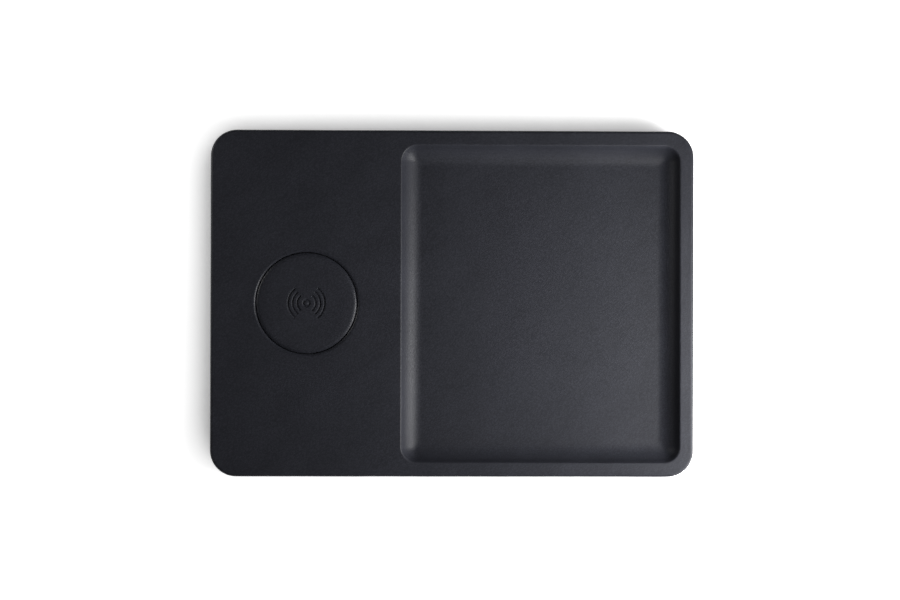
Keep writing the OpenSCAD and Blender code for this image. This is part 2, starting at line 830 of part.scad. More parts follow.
contacts_a_side = 12;
contact_pitch = 0.5;
contact_w = 0.24;
contact_l = 4;
contact_t = 0.08;
module usb_socket_contacts() {
    first_x = disc_x - (contacts_a_side - 1) / 2 * contact_pitch - contact_w / 2;
    levels = [z_socket + tongue_t / 2, z_socket - tongue_t / 2 - contact_t];
    color([0.85, 0.68, 0.3]) for (i = [0 : contacts_a_side - 1], z = levels)
        translate([first_x + i * contact_pitch, socket_back + socket_back_t, z])
            cube([contact_w, contact_l, contact_t]);
}

face_setback = 0.05;
module port_trim() {
    color([0.08, 0.08, 0.09]) difference() {
        union() {
            translate([disc_x - port_plate_w / 2 + slip, port_back, z_core])
                cube([port_plate_w - 2 * slip, port_plate_t, z_ceiling - z_core]);
            stadium_bar(trim_w, trim_h, port_back + port_plate_t / 2, tray_d / 2 - face_setback, z_socket);
        }
        stadium_bar(socket_w + 2 * slip, socket_h + 2 * slip, port_back - 1, tray_d / 2 + 1, z_socket);
        light_bar(light_d + 2 * screw_slip, port_back - 1, tray_d / 2 + 1);
    }
}

// A round bar on the status light's axis
module light_bar(d, y0, y1) {
    translate([disc_x + light_offset, y1, z_socket]) rotate([90, 0, 0]) cylinder(d = d, h = y1 - y0);
}

led_w = 2;
led_d = 1.2;
led_h = 2.4;
led_setback = 0.2;
module status_led() {
    color([0.9, 0.9, 0.85])
        translate([disc_x + light_offset - led_w / 2, tongue_rear - led_setback - led_d, z_board])
            cube([led_w, led_d, led_h]);
}

module light_pipe() {
    color([0.9, 0.95, 1])
        light_bar(light_d, tongue_rear + led_setback, tray_d / 2 - face_setback);
}

leather_cover();
core_board();
base_plate();
base_screws();
foot_pad(-1, -1);  // foot_front_left
foot_pad(1, -1);  // foot_front_right
foot_pad(-1, 1);  // foot_rear_left
foot_pad(1, 1);  // foot_rear_right
disc_leather();
charging_cup();
charging_coil();
ferrite_shield();
coil_retainer();
coil_leads();
coil_thermistor();
disc_screws();
circuit_board();
board_spacers();
board_screws();
controller_chip();
bridge_transistors();
resonant_capacitors();
power_inductor();
filter_capacitors();
chip_resistors();
thermal_pad();
usb_socket_shell();
usb_socket_tongue();
usb_socket_contacts();
port_trim();
status_led();
light_pipe();
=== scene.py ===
"""Charging station organizer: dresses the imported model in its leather, plastics and metals.

Every length is in metres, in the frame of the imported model."""
import math

import bmesh
import bpy
import numpy as np
from bpy.props import FloatProperty, FloatVectorProperty, IntProperty, PointerProperty
from mathutils import Matrix, Vector, noise
from mathutils.geometry import delaunay_2d_cdt


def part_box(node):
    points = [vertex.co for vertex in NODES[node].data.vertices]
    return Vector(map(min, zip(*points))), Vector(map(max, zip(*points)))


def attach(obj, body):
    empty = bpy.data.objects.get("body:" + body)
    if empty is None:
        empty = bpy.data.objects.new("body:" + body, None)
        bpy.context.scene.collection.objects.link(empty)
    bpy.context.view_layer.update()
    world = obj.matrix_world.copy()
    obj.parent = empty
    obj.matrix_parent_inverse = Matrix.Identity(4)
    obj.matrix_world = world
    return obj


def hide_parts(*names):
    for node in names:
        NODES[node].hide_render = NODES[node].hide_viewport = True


bl_info = {
    "name": "Charging Station Organizer",
    "version": (1, 0, 0),
    "blender": (4, 5, 0),
    "location": "3D View > Sidebar > Organizer",
    "description": "Leather desk tray with a wireless charging disc and a coved basin",
    "category": "Object",
}

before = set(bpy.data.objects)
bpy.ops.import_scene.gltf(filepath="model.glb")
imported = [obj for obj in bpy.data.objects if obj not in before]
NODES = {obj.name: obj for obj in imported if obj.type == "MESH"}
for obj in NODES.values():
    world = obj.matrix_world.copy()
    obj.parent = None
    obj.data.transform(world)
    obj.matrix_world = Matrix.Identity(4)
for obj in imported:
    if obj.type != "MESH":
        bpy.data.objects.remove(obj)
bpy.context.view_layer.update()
MM = 0.001

COVER_LOW, COVER_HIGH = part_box("leather_cover")
DISC_LOW, DISC_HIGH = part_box("disc_leather")
PLATE_LOW, PLATE_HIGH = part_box("base_plate")
FOOT_LOW, FOOT_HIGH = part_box("foot_front_left")
SCREW_LOW, SCREW_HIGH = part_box("base_screws")
SHELL_LOW, SHELL_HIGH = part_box("usb_socket_shell")
CONTACT_LOW, CONTACT_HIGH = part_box("usb_socket_contacts")
TRIM_LOW, TRIM_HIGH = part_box("port_trim")


def linear(hex_colour):
    """An sRGB hex colour as linear red, green, blue and alpha."""
    parts = [int(hex_colour[i : i + 2], 16) / 255 for i in (1, 3, 5)]
    return (*(p / 12.92 if p <= 0.04045 else ((p + 0.055) / 1.055) ** 2.4 for p in parts), 1.0)


def length(name, description, default_mm):
    """A size property in metres, given in millimetres."""
    return FloatProperty(
        name=name, description=description, default=default_mm * MM, unit="LENGTH", precision=5
    )


def angle(name, description, default_degrees):
    return FloatProperty(
        name=name, description=description, default=math.radians(default_degrees), unit="ROTATION"
    )


def colour(name, description, hex_colour):
    return FloatVectorProperty(
        name=name, description=description, default=linear(hex_colour), size=4, subtype="COLOR",
        min=0, max=1,
    )


# Settings


class CoverSettings(bpy.types.PropertyGroup):
    """Sizes and colours of the one hide that wraps the tray"""

    corner_radius: length("Corner Radius", "Outer corners in plan", 13)
    edge_radius: length("Edge Radius", "Upper outer edge", 1.4)
    fold_radius: length("Fold Radius", "Lower edge, where the hide turns under", 1.2)
    thickness: length("Thickness", "Thickness of the hide", 0.9)
    hem_width: length("Hem Width", "Width of the turned-under hem", 11)
    hem_corner: length("Hem Corner", "Corner radius of the hem's inner edge", 3)
    deck_width: length("Deck Width", "Flat deck left of the basin", 94.1)
    rim_right: length("Right Rim", "Rim right of the basin", 6.25)
    rim_front: length("Front Rim", "Rim in front of the basin", 6.5)
    rim_rear: length("Rear Rim", "Rim behind the basin", 6.9)
    basin_depth: length("Basin Depth", "Floor of the basin below the deck", 8.5)
    basin_corner: length("Basin Corner", "Corner radius of the basin's mouth", 8.5)
    floor_corner: length("Floor Corner", "Least corner radius down the cove", 1.6)
    cove_radius: length("Cove Radius", "Round between wall and floor", 9.8)
    wall_angle: angle("Wall Angle", "Slope of the basin's wall", 68)
    lip_radius: length("Lip Radius", "Rounded lip of the basin", 0.85)
    ripple: length("Ripple", "Height of the hide's soft unevenness", 0.045)
    # The hide colour lies on the grain's tops; the crease colour is painted shade down in the grain's creases.
    hide: colour("Hide", "Dyed leather on the grain's tops", "#33343b")
    painted_crease_shade: colour("Crease", "Leather down in the grain's creases", "#28292f")


class DiscSettings(bpy.types.PropertyGroup):
    """Sizes of the charging disc and of the mark pressed into it"""

    hole_diameter: length("Hole Diameter", "Hole in the deck", 50.5)
    hole_edge: length("Hole Edge", "Width of the hole's rounded edge", 1.4)
    hole_drop: length("Hole Drop", "Height of the hole's rounded edge", 1.0)
    collar: length("Collar", "Depth to which the hide lines the hole", 3.9)
    edge_width: length("Edge Width", "Width of the disc's rounded edge", 2.3)
    edge_height: length("Edge Height", "Height of the disc's rounded edge", 1.1)
    low_edge: length("Lower Edge", "Rounded lower edge of the disc's skirt", 0.3)
    burnish: length("Burnish", "Width of the smooth edges along the gap", 0.9)
    crown: length("Crown", "Fall of the disc's top toward its edge", 0.12)
    crown_width: length("Crown Width", "Ring over which the top falls", 4)
    line_width: length("Line Width", "Width of a pressed line", 0.9)
    line_depth: length("Line Depth", "Depth of a pressed line", 0.34)
    line_wall: length("Line Wall", "Width of a pressed line's sloping wall", 0.17)
    ring_radius: length("Ring Radius", "Small ring in the middle", 1.5)
    first_arc: length("First Arc", "Radius of the innermost arc", 4.6)
    arc_pitch: length("Arc Pitch", "Step from arc to arc", 2.25)
    arcs: IntProperty(name="Arcs", description="Arcs on each side", default=3, min=1, max=5)
    half_angle: angle("Half Angle", "Half of the angle that an arc spans", 53)


class UndersideSettings(bpy.types.PropertyGroup):
    """Sizes of the screws and feet under the tray"""

    middle_screws: length("Middle Screws", "From the left side to the two middle screws", 90.1)
    head_edge: length("Head Edge", "Height of the head's straight edge", 0.2)
    head_height: length("Head Height", "Countersunk head", 1.3)
    head_diameter: length("Head Diameter", "Countersunk head", 4.6)
    thread_diameter: length("Thread Diameter", "Outer diameter of the thread", 2.4)
    thread_pitch: length("Thread Pitch", "Step of the thread", 0.8)
    recess_width: length("Recess Width", "Cross recess", 2.4)
    recess_depth: length("Recess Depth", "Cross recess", 0.9)
    foot_edge: length("Foot Edge", "Rounded lower edge of a foot", 0.6)
    groove_depth: length("Groove Depth", "Grip grooves under a foot", 0.25)


class StageSettings(bpy.types.PropertyGroup):
    """Lamps, world and floor"""

    key_power: FloatProperty(name="Key", description="Tall soft box at the right", default=2.05, unit="POWER")
    fill_power: FloatProperty(name="Fill", description="Fill at the left", default=0.26, unit="POWER")
    ambient: FloatProperty(name="Ambient", description="Light from all round", default=0.02)
    horizon: FloatProperty(name="Horizon", description="White that the sides mirror", default=0.3)
    shade: FloatProperty(name="Contact Shade", description="White left on the floor at the tray", default=0.22)
    shade_reach: length("Shade Reach", "How far the contact shade goes", 22)


class OrganizerSettings(bpy.types.PropertyGroup):
    cover: PointerProperty(type=CoverSettings)
    disc: PointerProperty(type=DiscSettings)
    underside: PointerProperty(type=UndersideSettings)
    stage: PointerProperty(type=StageSettings)


def settings():
    return bpy.context.scene.organizer


# Nodes and materials


def add(tree, kind, options=None, values=None, links=None):
    """Adds a node: options are its attributes, values its inputs, links the sockets that feed it."""
    node = tree.nodes.new(kind)
    for name, value in (options or {}).items():
        setattr(node, name, value)
    for name, value in (values or {}).items():
        node.inputs[name].default_value = value
    for name, source in (links or {}).items():
        socket = source if isinstance(source, bpy.types.NodeSocket) else source.outputs[0]
        tree.links.new(socket, node.inputs[name])
    return node


def math_node(operation):
    return {"operation": operation}


def blank_material(name):
    """A material with a Principled surface and nothing else; returns it, its tree and the surface."""
    material = bpy.data.materials.new(name)
    material.use_nodes = True
    tree = material.node_tree
    tree.nodes.clear()
    surface = add(tree, "ShaderNodeBsdfPrincipled")
    add(tree, "ShaderNodeOutputMaterial", links={"Surface": surface})
    return material, tree, surface


def grain_leather(name, hide, painted_crease_shade):
    """Top-coated black leather, embossed with a fine hair-cell grain that runs diagonally, with painted shade
    in its creases.

    The coat gives a soft sheen, and the grain breaks it into fine streaks."""
    material, tree, surface = blank_material(name)
    place = add(tree, "ShaderNodeTexCoord").outputs["Object"]
    along = (0, 0, math.radians(38))
    cell = (1.9 * MM, 0.5 * MM, 0.6 * MM)
    streak = (3.4 * MM, 0.42 * MM, 0.6 * MM)
    pore = (0.4 * MM, 0.2 * MM, 0.25 * MM)
    blotch = (30 * MM, 15 * MM, 20 * MM)
    grain = {}
    for key, size in {"cell": cell, "streak": streak, "pore": pore, "blotch": blotch}.items():
        grain[key] = add(
            tree, "ShaderNodeMapping", {"vector_type": "TEXTURE"},
            {"Rotation": along, "Scale": size}, {"Vector": place},
        )
    wander = add(
        tree, "ShaderNodeTexNoise", values={"Scale": 0.7, "Detail": 1.0},
        links={"Vector": grain["cell"]},
    )
    bent = add(
        tree, "ShaderNodeVectorMath", math_node("MULTIPLY_ADD"),
        {1: (0.2, 0.2, 0.2)}, {0: wander.outputs["Color"], 2: grain["cell"]},
    )
    cells = add(
        tree, "ShaderNodeTexVoronoi", {"feature": "DISTANCE_TO_EDGE"}, {"Scale": 1.0},
        {"Vector": bent},
    )
    pebble = add(
        tree, "ShaderNodeMapRange", {"interpolation_type": "SMOOTHSTEP"},
        {"From Min": 0.0, "From Max": 0.22}, {"Value": cells.outputs["Distance"]},
    )
    streaks = add(
        tree, "ShaderNodeTexNoise", values={"Scale": 1.0, "Detail": 1.0, "Roughness": 0.5},
        links={"Vector": grain["streak"]},
    )
    pores = add(
        tree, "ShaderNodeTexNoise", values={"Scale": 1.0, "Detail": 1.0},
        links={"Vector": grain["pore"]},
    )
    blotches = add(
        tree, "ShaderNodeTexNoise", values={"Scale": 1.0, "Detail": 3.0},
        links={"Vector": grain["blotch"]},
    )
    relief = add(
        tree, "ShaderNodeMath", math_node("MULTIPLY_ADD"), {1: 2.0}, {0: streaks, 2: pebble},
    )
    relief = add(
        tree, "ShaderNodeMath", math_node("MULTIPLY_ADD"), {1: 0.25}, {0: pores, 2: relief},
    )
    bump = add(
        tree, "ShaderNodeBump", values={"Strength": 1.0, "Distance": 0.014 * MM},
        links={"Height": relief},
    )
    # Painted shade: the colour goes from the hide colour on the grain's tops to the darker crease colour down
    # in its creases, where cells and streaks are low.
    painted_shade_mask = add(
        tree, "ShaderNodeMath", math_node("MULTIPLY"), links={0: pebble, 1: streaks},
    )
    painted_shade_mask = add(
        tree, "ShaderNodeMapRange", values={"From Min": 0.1, "From Max": 0.6},
        links={"Value": painted_shade_mask},
    )
    grain_tone_with_painted_shade = add(
        tree, "ShaderNodeMix", {"data_type": "RGBA"}, {"A": painted_crease_shade, "B": hide},
        {"Factor": painted_shade_mask},
    )
    uneven = add(
        tree, "ShaderNodeMapRange",
        values={"From Min": 0.3, "From Max": 0.7, "To Min": 0.9, "To Max": 1.08},
        links={"Value": blotches},
    )
    toned = add(
        tree, "ShaderNodeVectorMath", math_node("SCALE"),
        links={0: grain_tone_with_painted_shade.outputs["Result"], "Scale": uneven},
    )
    gloss = add(
        tree, "ShaderNodeMapRange",
        values={"From Min": 0.3, "From Max": 0.7, "To Min": 0.52, "To Max": 0.45},
        links={"Value": streaks},
    )
    tree.links.new(toned.outputs[0], surface.inputs["Base Color"])
    rubbed = add(tree, "ShaderNodeAttribute", {"attribute_name": "burnish"}).outputs["Fac"]
    gloss = add(
        tree, "ShaderNodeMix", {"data_type": "FLOAT"}, {"B": 0.34}, {"Factor": rubbed, "A": gloss}
    )
    tree.links.new(gloss.outputs[0], surface.inputs["Roughness"])
    tree.links.new(bump.outputs[0], surface.inputs["Normal"])
    surface.inputs["IOR"].default_value = 1.5
    surface.inputs["Specular IOR Level"].default_value = 0.25
    return material


def solid_finish(
    name, tone, shade, roughness, grain_mm, relief_mm, stretch=(1, 1, 1), metallic=0.0, ior=1.5,
    spread=0.08, kind="noise",
):
    """A surface whose grain, at a real size, moves its colour, gloss and height a little."""
    material, tree, surface = blank_material(name)
    place = add(tree, "ShaderNodeTexCoord").outputs["Object"]
    grain = add(
        tree, "ShaderNodeMapping", {"vector_type": "TEXTURE"},
        {"Scale": [grain_mm * MM * s for s in stretch]}, {"Vector": place},
    )
    if kind == "cells":
        pattern = add(
            tree, "ShaderNodeTexVoronoi", values={"Scale": 1.0}, links={"Vector": grain}
        ).outputs["Distance"]
    else:
        pattern = add(
            tree, "ShaderNodeTexNoise", values={"Scale": 1.0, "Detail": 3.0},
            links={"Vector": grain},
        ).outputs[0]
    step = add(
        tree, "ShaderNodeMapRange", values={"From Min": 0.25, "From Max": 0.75},
        links={"Value": pattern},
    )
    tint = add(
        tree, "ShaderNodeMix", {"data_type": "RGBA"}, {"A": linear(shade), "B": linear(tone)},
        {"Factor": step},
    )
    gloss = add(
        tree, "ShaderNodeMapRange",
        values={"To Min": roughness + spread, "To Max": max(0.02, roughness - spread)},
        links={"Value": step},
    )
    bump = add(
        tree, "ShaderNodeBump", values={"Strength": 1.0, "Distance": relief_mm * MM},
        links={"Height": pattern},
    )
    tree.links.new(tint.outputs["Result"], surface.inputs["Base Color"])
    tree.links.new(gloss.outputs[0], surface.inputs["Roughness"])
    tree.links.new(bump.outputs[0], surface.inputs["Normal"])
    surface.inputs["Metallic"].default_value = metallic
    if not metallic:
        surface.inputs["IOR"].default_value = ior
    return material


# Meshes


def new_object(name, mesh):
    obj = bpy.data.objects.new(name, mesh)
    bpy.context.scene.collection.objects.link(obj)
    return obj


def settle(obj):
    """Makes what the object's modifiers give its own plain mesh."""
    graph = bpy.context.evaluated_depsgraph_get()
    mesh = bpy.data.meshes.new_from_object(obj.evaluated_get(graph), depsgraph=graph)
    obj.modifiers.clear()
    old, obj.data = obj.data, mesh
    mesh.name = obj.name
    bpy.data.meshes.remove(old)
    return obj


def smooth(obj, sharp_degrees=35):
    """Smooth shading that breaks at real edges."""
    obj.data.shade_smooth()
    obj.data.set_sharp_from_angle(angle=math.radians(sharp_degrees))


def burnish(obj, centre, radius, width, low):
    """Marks how far the hide is rubbed smooth, round the disc's gap, as the cut edges are."""
    rub = obj.data.attributes.new("burnish", "FLOAT", "POINT")
    for vertex, value in zip(obj.data.vertices, rub.data):
        away = math.dist(vertex.co[:2], centre) - radius
        value.value = math.exp(-((away / width) ** 2)) if vertex.co.z > low else 0.0


def place(obj, material, slot, *nodes):
    """Gives the finished piece its material and its body, and hides the nodes it stands for. The slot is not
    used.
    """
    obj.data.materials.clear()
    obj.data.materials.append(material)
    for polygon in obj.data.polygons:
        polygon.material_index = 0
    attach(obj, "root")
    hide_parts(*nodes)


def rounded_ring(centre, half, radius, counts):
    """Points round a rounded rectangle, anticlockwise. Rings with the same counts match."""
    along_x, along_y, corner = counts
    signs = [(1, 1), (-1, 1), (-1, -1), (1, -1)]
    points = []
    for i, sign in enumerate(signs):
        axis = np.array(centre) + np.array(sign) * (np.array(half) - radius)
        for k in range(corner + 1):
            a = (i + k / corner) * math.pi / 2
            points.append(axis + radius * np.array([math.cos(a), math.sin(a)]))
        a = (i + 1) * math.pi / 2
        after = np.array(centre) + np.array(signs[(i + 1) % 4]) * (np.array(half) - radius)
        after = after + radius * np.array([math.cos(a), math.sin(a)])
        count = along_x if i % 2 == 0 else along_y
        start = points[-1]
        points += [start + (after - start) * k / count for k in range(1, count)]
    return np.array(points)


def round_ring(centre, radius, count):
    turn = np.arange(count) / count * 2 * math.pi
    return np.array(centre) + radius * np.stack([np.cos(turn), np.sin(turn)], 1)


class Skin:
    """Collects rings and filled areas of one surface."""

    def __init__(self):
        self.points, self.faces = [], []

    def ring(self, plan, z):
        first = len(self.points)
        self.points += [(x, y, z) for x, y in plan]
        return list(range(first, first + len(plan)))

    def loft(self, rings):
        for low, high in zip(rings, rings[1:]):
            count = len(low)
            for k in range(count):
                n = (k + 1) % count
                self.faces.append((low[k], low[n], high[n], high[k]))

    def fill(self, outer, holes, inside, z):
        """Fills the area between rings with triangles, through the given inside points."""
        walls = [np.array([self.points[i][:2] for i in hole]) for hole in holes]
        loops = [outer, *holes]
        ids = [i for loop in loops for i in loop]
        flat = [Vector(self.points[i][:2]) for i in ids] + [Vector(p) for p in inside]
        edges, start = [], 0
        for loop in loops:
            count = len(loop)
            edges += [(start + k, start + (k + 1) % count) for k in range(count)]
            start += count
        found, _, faces, sources, _, _ = delaunay_2d_cdt(flat, edges, [], 1, 1e-7)
        names = []
        for point, source in zip(found, sources):
            known = [s for s in source if s < len(ids)]
            if known:
                names.append(ids[known[0]])
            else:
                names.append(len(self.points))
                self.points.append((point.x, point.y, z))
        for face in faces:
            a, b, c = (found[i] for i in face)
            if any(within(wall, (a + b + c) / 3) for wall in walls):
                continue
            turn = (b - a).cross(c - a)
            self.faces.append([names[i] for i in (face if turn > 0 else face[::-1])])

    def object(self, name):
        mesh = bpy.data.meshes.new(name)
        mesh.from_pydata([tuple(p) for p in self.points], [], [tuple(f) for f in self.faces])
        mesh.validate()
        return new_object(name, mesh)


def within(loop, spot):
    """True if the spot lies inside a closed convex loop that runs anticlockwise."""
    side, away = np.roll(loop, -1, axis=0) - loop, np.array(spot) - loop
    return bool((side[:, 0] * away[:, 1] - side[:, 1] * away[:, 0] > 0).all())


def outside(points, centre, half, radius):
    """How far each point lies outside a rounded rectangle, negative inside."""
    q = np.abs(points - np.array(centre)) - (np.array(half) - radius)
    return np.linalg.norm(np.maximum(q, 0), axis=1) + np.minimum(q.max(axis=1), 0) - radius


def grid_points(low, high, step):
    """A field of points in offset rows."""
    rows = []
    for j, y in enumerate(np.arange(low[1], high[1], step * 0.87)):
        for x in np.arange(low[0] + (j % 2) * step / 2, high[0], step):
            rows.append((x, y))
    return np.array(rows)


def lathe(name, profile, steps=64):
    """A closed turned form about Z. The profile runs anticlockwise from the axis to the axis."""
    skin = Skin()
    rings = []
    for radius, z in profile[1:-1]:
        rings.append(skin.ring(round_ring((0, 0), radius, steps), z))
    skin.loft(rings)
    for (_, z), ring, forward in ((profile[0], rings[0], False), (profile[-1], rings[-1], True)):
        pole = len(skin.points)
        skin.points.append((0, 0, z))
        for k in range(steps):
            pair = (ring[k], ring[(k + 1) % steps])
            skin.faces.append((*(pair if forward else pair[::-1]), pole))
    return skin.object(name)


def arc(centre, radius, start, end, steps):
    """Points of a section's arc, in degrees from the outward direction."""
    turns = np.radians(np.linspace(start, end, steps + 1))
    return [(centre[0] + radius * math.cos(a), centre[1] + radius * math.sin(a)) for a in turns]


def node_tree(name, inputs):
    """A geometry tree with named inputs; returns it and its input node."""
    tree = bpy.data.node_groups.new(name, "GeometryNodeTree")
    tree.interface.new_socket("Geometry", in_out="INPUT", socket_type="NodeSocketGeometry")
    for label, kind in inputs.items():
        tree.interface.new_socket(label, in_out="INPUT", socket_type="NodeSocket" + kind)
    tree.interface.new_socket("Geometry", in_out="OUTPUT", socket_type="NodeSocketGeometry")
    return tree, add(tree, "NodeGroupInput").outputs


def close_tree(tree, shape, material):
    """Ends a tree in plain geometry with its material."""
    real = add(tree, "GeometryNodeRealizeInstances", links={0: shape})
    painted = add(tree, "GeometryNodeSetMaterial", values={"Material": material}, links={0: real})
    add(tree, "NodeGroupOutput", links={0: painted})


def grow(obj, tree, values):
    """Runs a tree on the object with values for its named inputs, and keeps the plain mesh."""
    modifier = obj.modifiers.new(tree.name, "NODES")
    modifier.node_group = tree
    for item in tree.interface.items_tree:
        if item.in_out == "INPUT" and item.name in values:
            modifier[item.identifier] = values[item.name]
    return settle(obj)


def cut(obj, cutter):
    modifier = obj.modifiers.new("Cut", "BOOLEAN")
    modifier.operation, modifier.solver, modifier.object = "DIFFERENCE", "EXACT", cutter
    settle(obj)
    mesh = cutter.data
    bpy.data.objects.remove(cutter)
    bpy.data.meshes.remove(mesh)


def softened(name, node, width_mm, segments=2, angle_degrees=30):
    """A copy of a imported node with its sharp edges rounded."""
    mesh = NODES[node].data.copy()
    mesh.name = name
    form = bmesh.new()
    form.from_mesh(mesh)
    bmesh.ops.remove_doubles(form, verts=form.verts, dist=1e-6)
    bmesh.ops.dissolve_limit(
        form, angle_limit=math.radians(0.6), verts=form.verts, edges=form.edges
    )
    form.to_mesh(mesh)
    form.free()
    obj = new_object(name, mesh)
    bevel = obj.modifiers.new("Edges", "BEVEL")
    bevel.width, bevel.segments, bevel.limit_method = width_mm * MM, segments, "ANGLE"
    bevel.angle_limit = math.radians(angle_degrees)
    settle(obj)
    smooth(obj, 38)
    # Large flat faces keep their own normals, so that they don't shade in bands.
    even = obj.modifiers.new("Flat Faces", "WEIGHTED_NORMAL")
    even.keep_sharp = True
    return settle(obj)


# The leather cover


def cover_plan(s):
    """Centre and half size of the tray and of the basin's mouth."""
    low, high = COVER_LOW, COVER_HIGH
    left, right = low.x + s.deck_width, high.x - s.rim_right
    front, rear = low.y + s.rim_front, high.y - s.rim_rear
    tray = ((low.x + high.x) / 2, (low.y + high.y) / 2), ((high.x - low.x) / 2, (high.y - low.y) / 2)
    basin = ((left + right) / 2, (front + rear) / 2), ((right - left) / 2, (rear - front) / 2)
    return tray, basin


def basin_profile(s):
    """Inset from the mouth and height below the deck, from the lip to the floor."""
    a = s.wall_angle
    fall = s.basin_depth - (s.cove_radius + s.lip_radius) * (1 - math.cos(a))
    wall = fall / math.sin(a)
    reach = (s.cove_radius + s.lip_radius) * math.sin(a) + wall * math.cos(a)
    path = []
    for t in np.linspace(0, a, 9):
        path.append((s.lip_radius * math.sin(t), s.lip_radius * (math.cos(t) - 1)))
    for t in np.linspace(a, 0, 19):
        path.append((
            reach - s.cove_radius * math.sin(t),
            s.cove_radius * (1 - math.cos(t)) - s.basin_depth,
        ))
    return path, reach


def unevenness(p, seed):
    """Soft, repeatable variation from about -1 to 1 at three wavelengths."""
    total = 0.0
    for wave, weight in ((26 * MM, 1.0), (11 * MM, 0.5), (4.5 * MM, 0.18)):
        total += weight * noise.noise(Vector((p[0] / wave, p[1] / wave, p[2] / wave + seed)))
    return total


def leather_surface(s, d):
    """The hide's outer surface: hem, side, deck, hole and basin."""
    (tray_c, tray_h), (basin_c, basin_h) = cover_plan(s)
    top, low = COVER_HIGH.z, COVER_LOW.z
    skin = Skin()
    counts = (74, 52, 14)
    section = []
    for t in np.linspace(0, 1, 6):
        inset = s.hem_width + (s.fold_radius - s.hem_width) * t
        corner = s.hem_corner + (s.corner_radius - s.fold_radius - s.hem_corner) * t
        section.append((inset, low, corner))
    for x, z in arc((0, low + s.fold_radius), s.fold_radius, -75, 0, 5):
        section.append((s.fold_radius - x, z, None))
    for z in np.linspace(low + s.fold_radius, top - s.edge_radius, 6)[1:-1]:
        section.append((0, z, None))
    for x, z in arc((0, top - s.edge_radius), s.edge_radius, 0, 90, 8):
        section.append((s.edge_radius - x, z, None))
    for extra in (0.3, 1.2):
        section.append((s.edge_radius + extra * MM, top, None))
    rings = []
    for inset, z, corner in section:
        radius = s.corner_radius - inset if corner is None else corner
        plan = rounded_ring(tray_c, np.array(tray_h) - inset, radius, counts)
        rings.append(skin.ring(plan, z))
    skin.loft(rings)
    outer = rings[-1]

    counts = (44, 50, 14)
    path, reach = basin_profile(s)
    section = [(-1.2 * MM, 0), (-0.3 * MM, 0), *path, (reach + 0.4 * MM, path[-1][1])]
    section.append((reach + 1.6 * MM, path[-1][1]))
    rings = []
    for inset, drop in section:
        radius = max(s.basin_corner - inset, s.floor_corner)
        plan = rounded_ring(basin_c, np.array(basin_h) - inset, radius, counts)
        rings.append(skin.ring(plan, top + drop))
    skin.loft(rings)
    mouth, floor = rings[0], rings[-1]

    centre = ((DISC_LOW.x + DISC_HIGH.x) / 2, (DISC_LOW.y + DISC_HIGH.y) / 2)
    hole_r = d.hole_diameter / 2
    section = [(hole_r + d.hole_edge + extra * MM, top) for extra in (1.2, 0.3)]
    for x, z in arc((0, 0), 1.0, 90, 180, 8):
        section.append((hole_r + d.hole_edge * (1 + x), top - d.hole_drop * (1 - z)))
    for z in np.linspace(top - d.hole_drop, top - d.collar, 4)[1:]:
        section.append((hole_r, z))
    rings = [skin.ring(round_ring(centre, r, 128), z) for r, z in section]
    skin.loft(rings)
    hole = rings[0]

    step = 3.1 * MM
    field = grid_points(COVER_LOW, COVER_HIGH, step)
    room = step * 0.62
    edge = s.edge_radius + 1.2 * MM
    inner = outside(field, tray_c, np.array(tray_h) - edge, s.corner_radius - edge) < -room
    clear = outside(field, basin_c, np.array(basin_h) + 1.2 * MM, s.basin_corner) > room
    away = np.linalg.norm(field - np.array(centre), axis=1) > hole_r + d.hole_edge + 1.2 * MM + room
    skin.fill(outer, [mouth, hole], field[inner & clear & away], top)
    flat = np.array(basin_h) - reach - 1.6 * MM
    on_floor = outside(field, basin_c, flat, s.floor_corner) < -room
    skin.fill(floor, [], field[on_floor], top - s.basin_depth)
    return skin.object("leather_cover_skin")


def ripple_hide(obj, s, d):
    """Moves the hide a little along its normals, as leather glued over a board lies."""
    mesh = obj.data
    top = COVER_HIGH.z
    _, (centre, half) = cover_plan(s)
    still = COVER_LOW.z + s.fold_radius
    spots = np.array([v.co for v in mesh.vertices])
    rim = np.abs(outside(spots[:, :2], centre, np.array(half) - 0.4 * MM, s.basin_corner))
    for vertex, edge in zip(mesh.vertices, rim):
        if vertex.co.z < still:
            continue
        calm = min(1.0, (vertex.co.z - still) / (4 * MM))
        lip = math.exp(-((edge / (1.6 * MM)) ** 2)) if vertex.co.z > top - 3 * MM else 0.0
        lift = s.ripple * (1 + 1.4 * lip) * unevenness(vertex.co, 3.7)
        vertex.co += vertex.normal * lift * calm


def hem_pleats(obj, s):
    """Gathers the hem into small pleats at the four corners, where the spare leather goes."""
    (centre, half), _ = cover_plan(s)
    for vertex in obj.data.vertices:
        if vertex.co.z > COVER_LOW.z + 0.01 * MM:
            continue
        q = np.abs(np.array(vertex.co[:2]) - np.array(centre)) - (np.array(half) - s.corner_radius)
        if min(q) <= 0:
            continue
        turn = math.atan2(q[1], q[0])
        share = math.sin(2 * turn) ** 0.5
        vertex.co.z += 0.11 * MM * share * (0.5 - 0.5 * math.cos(turn * 4 * 13))


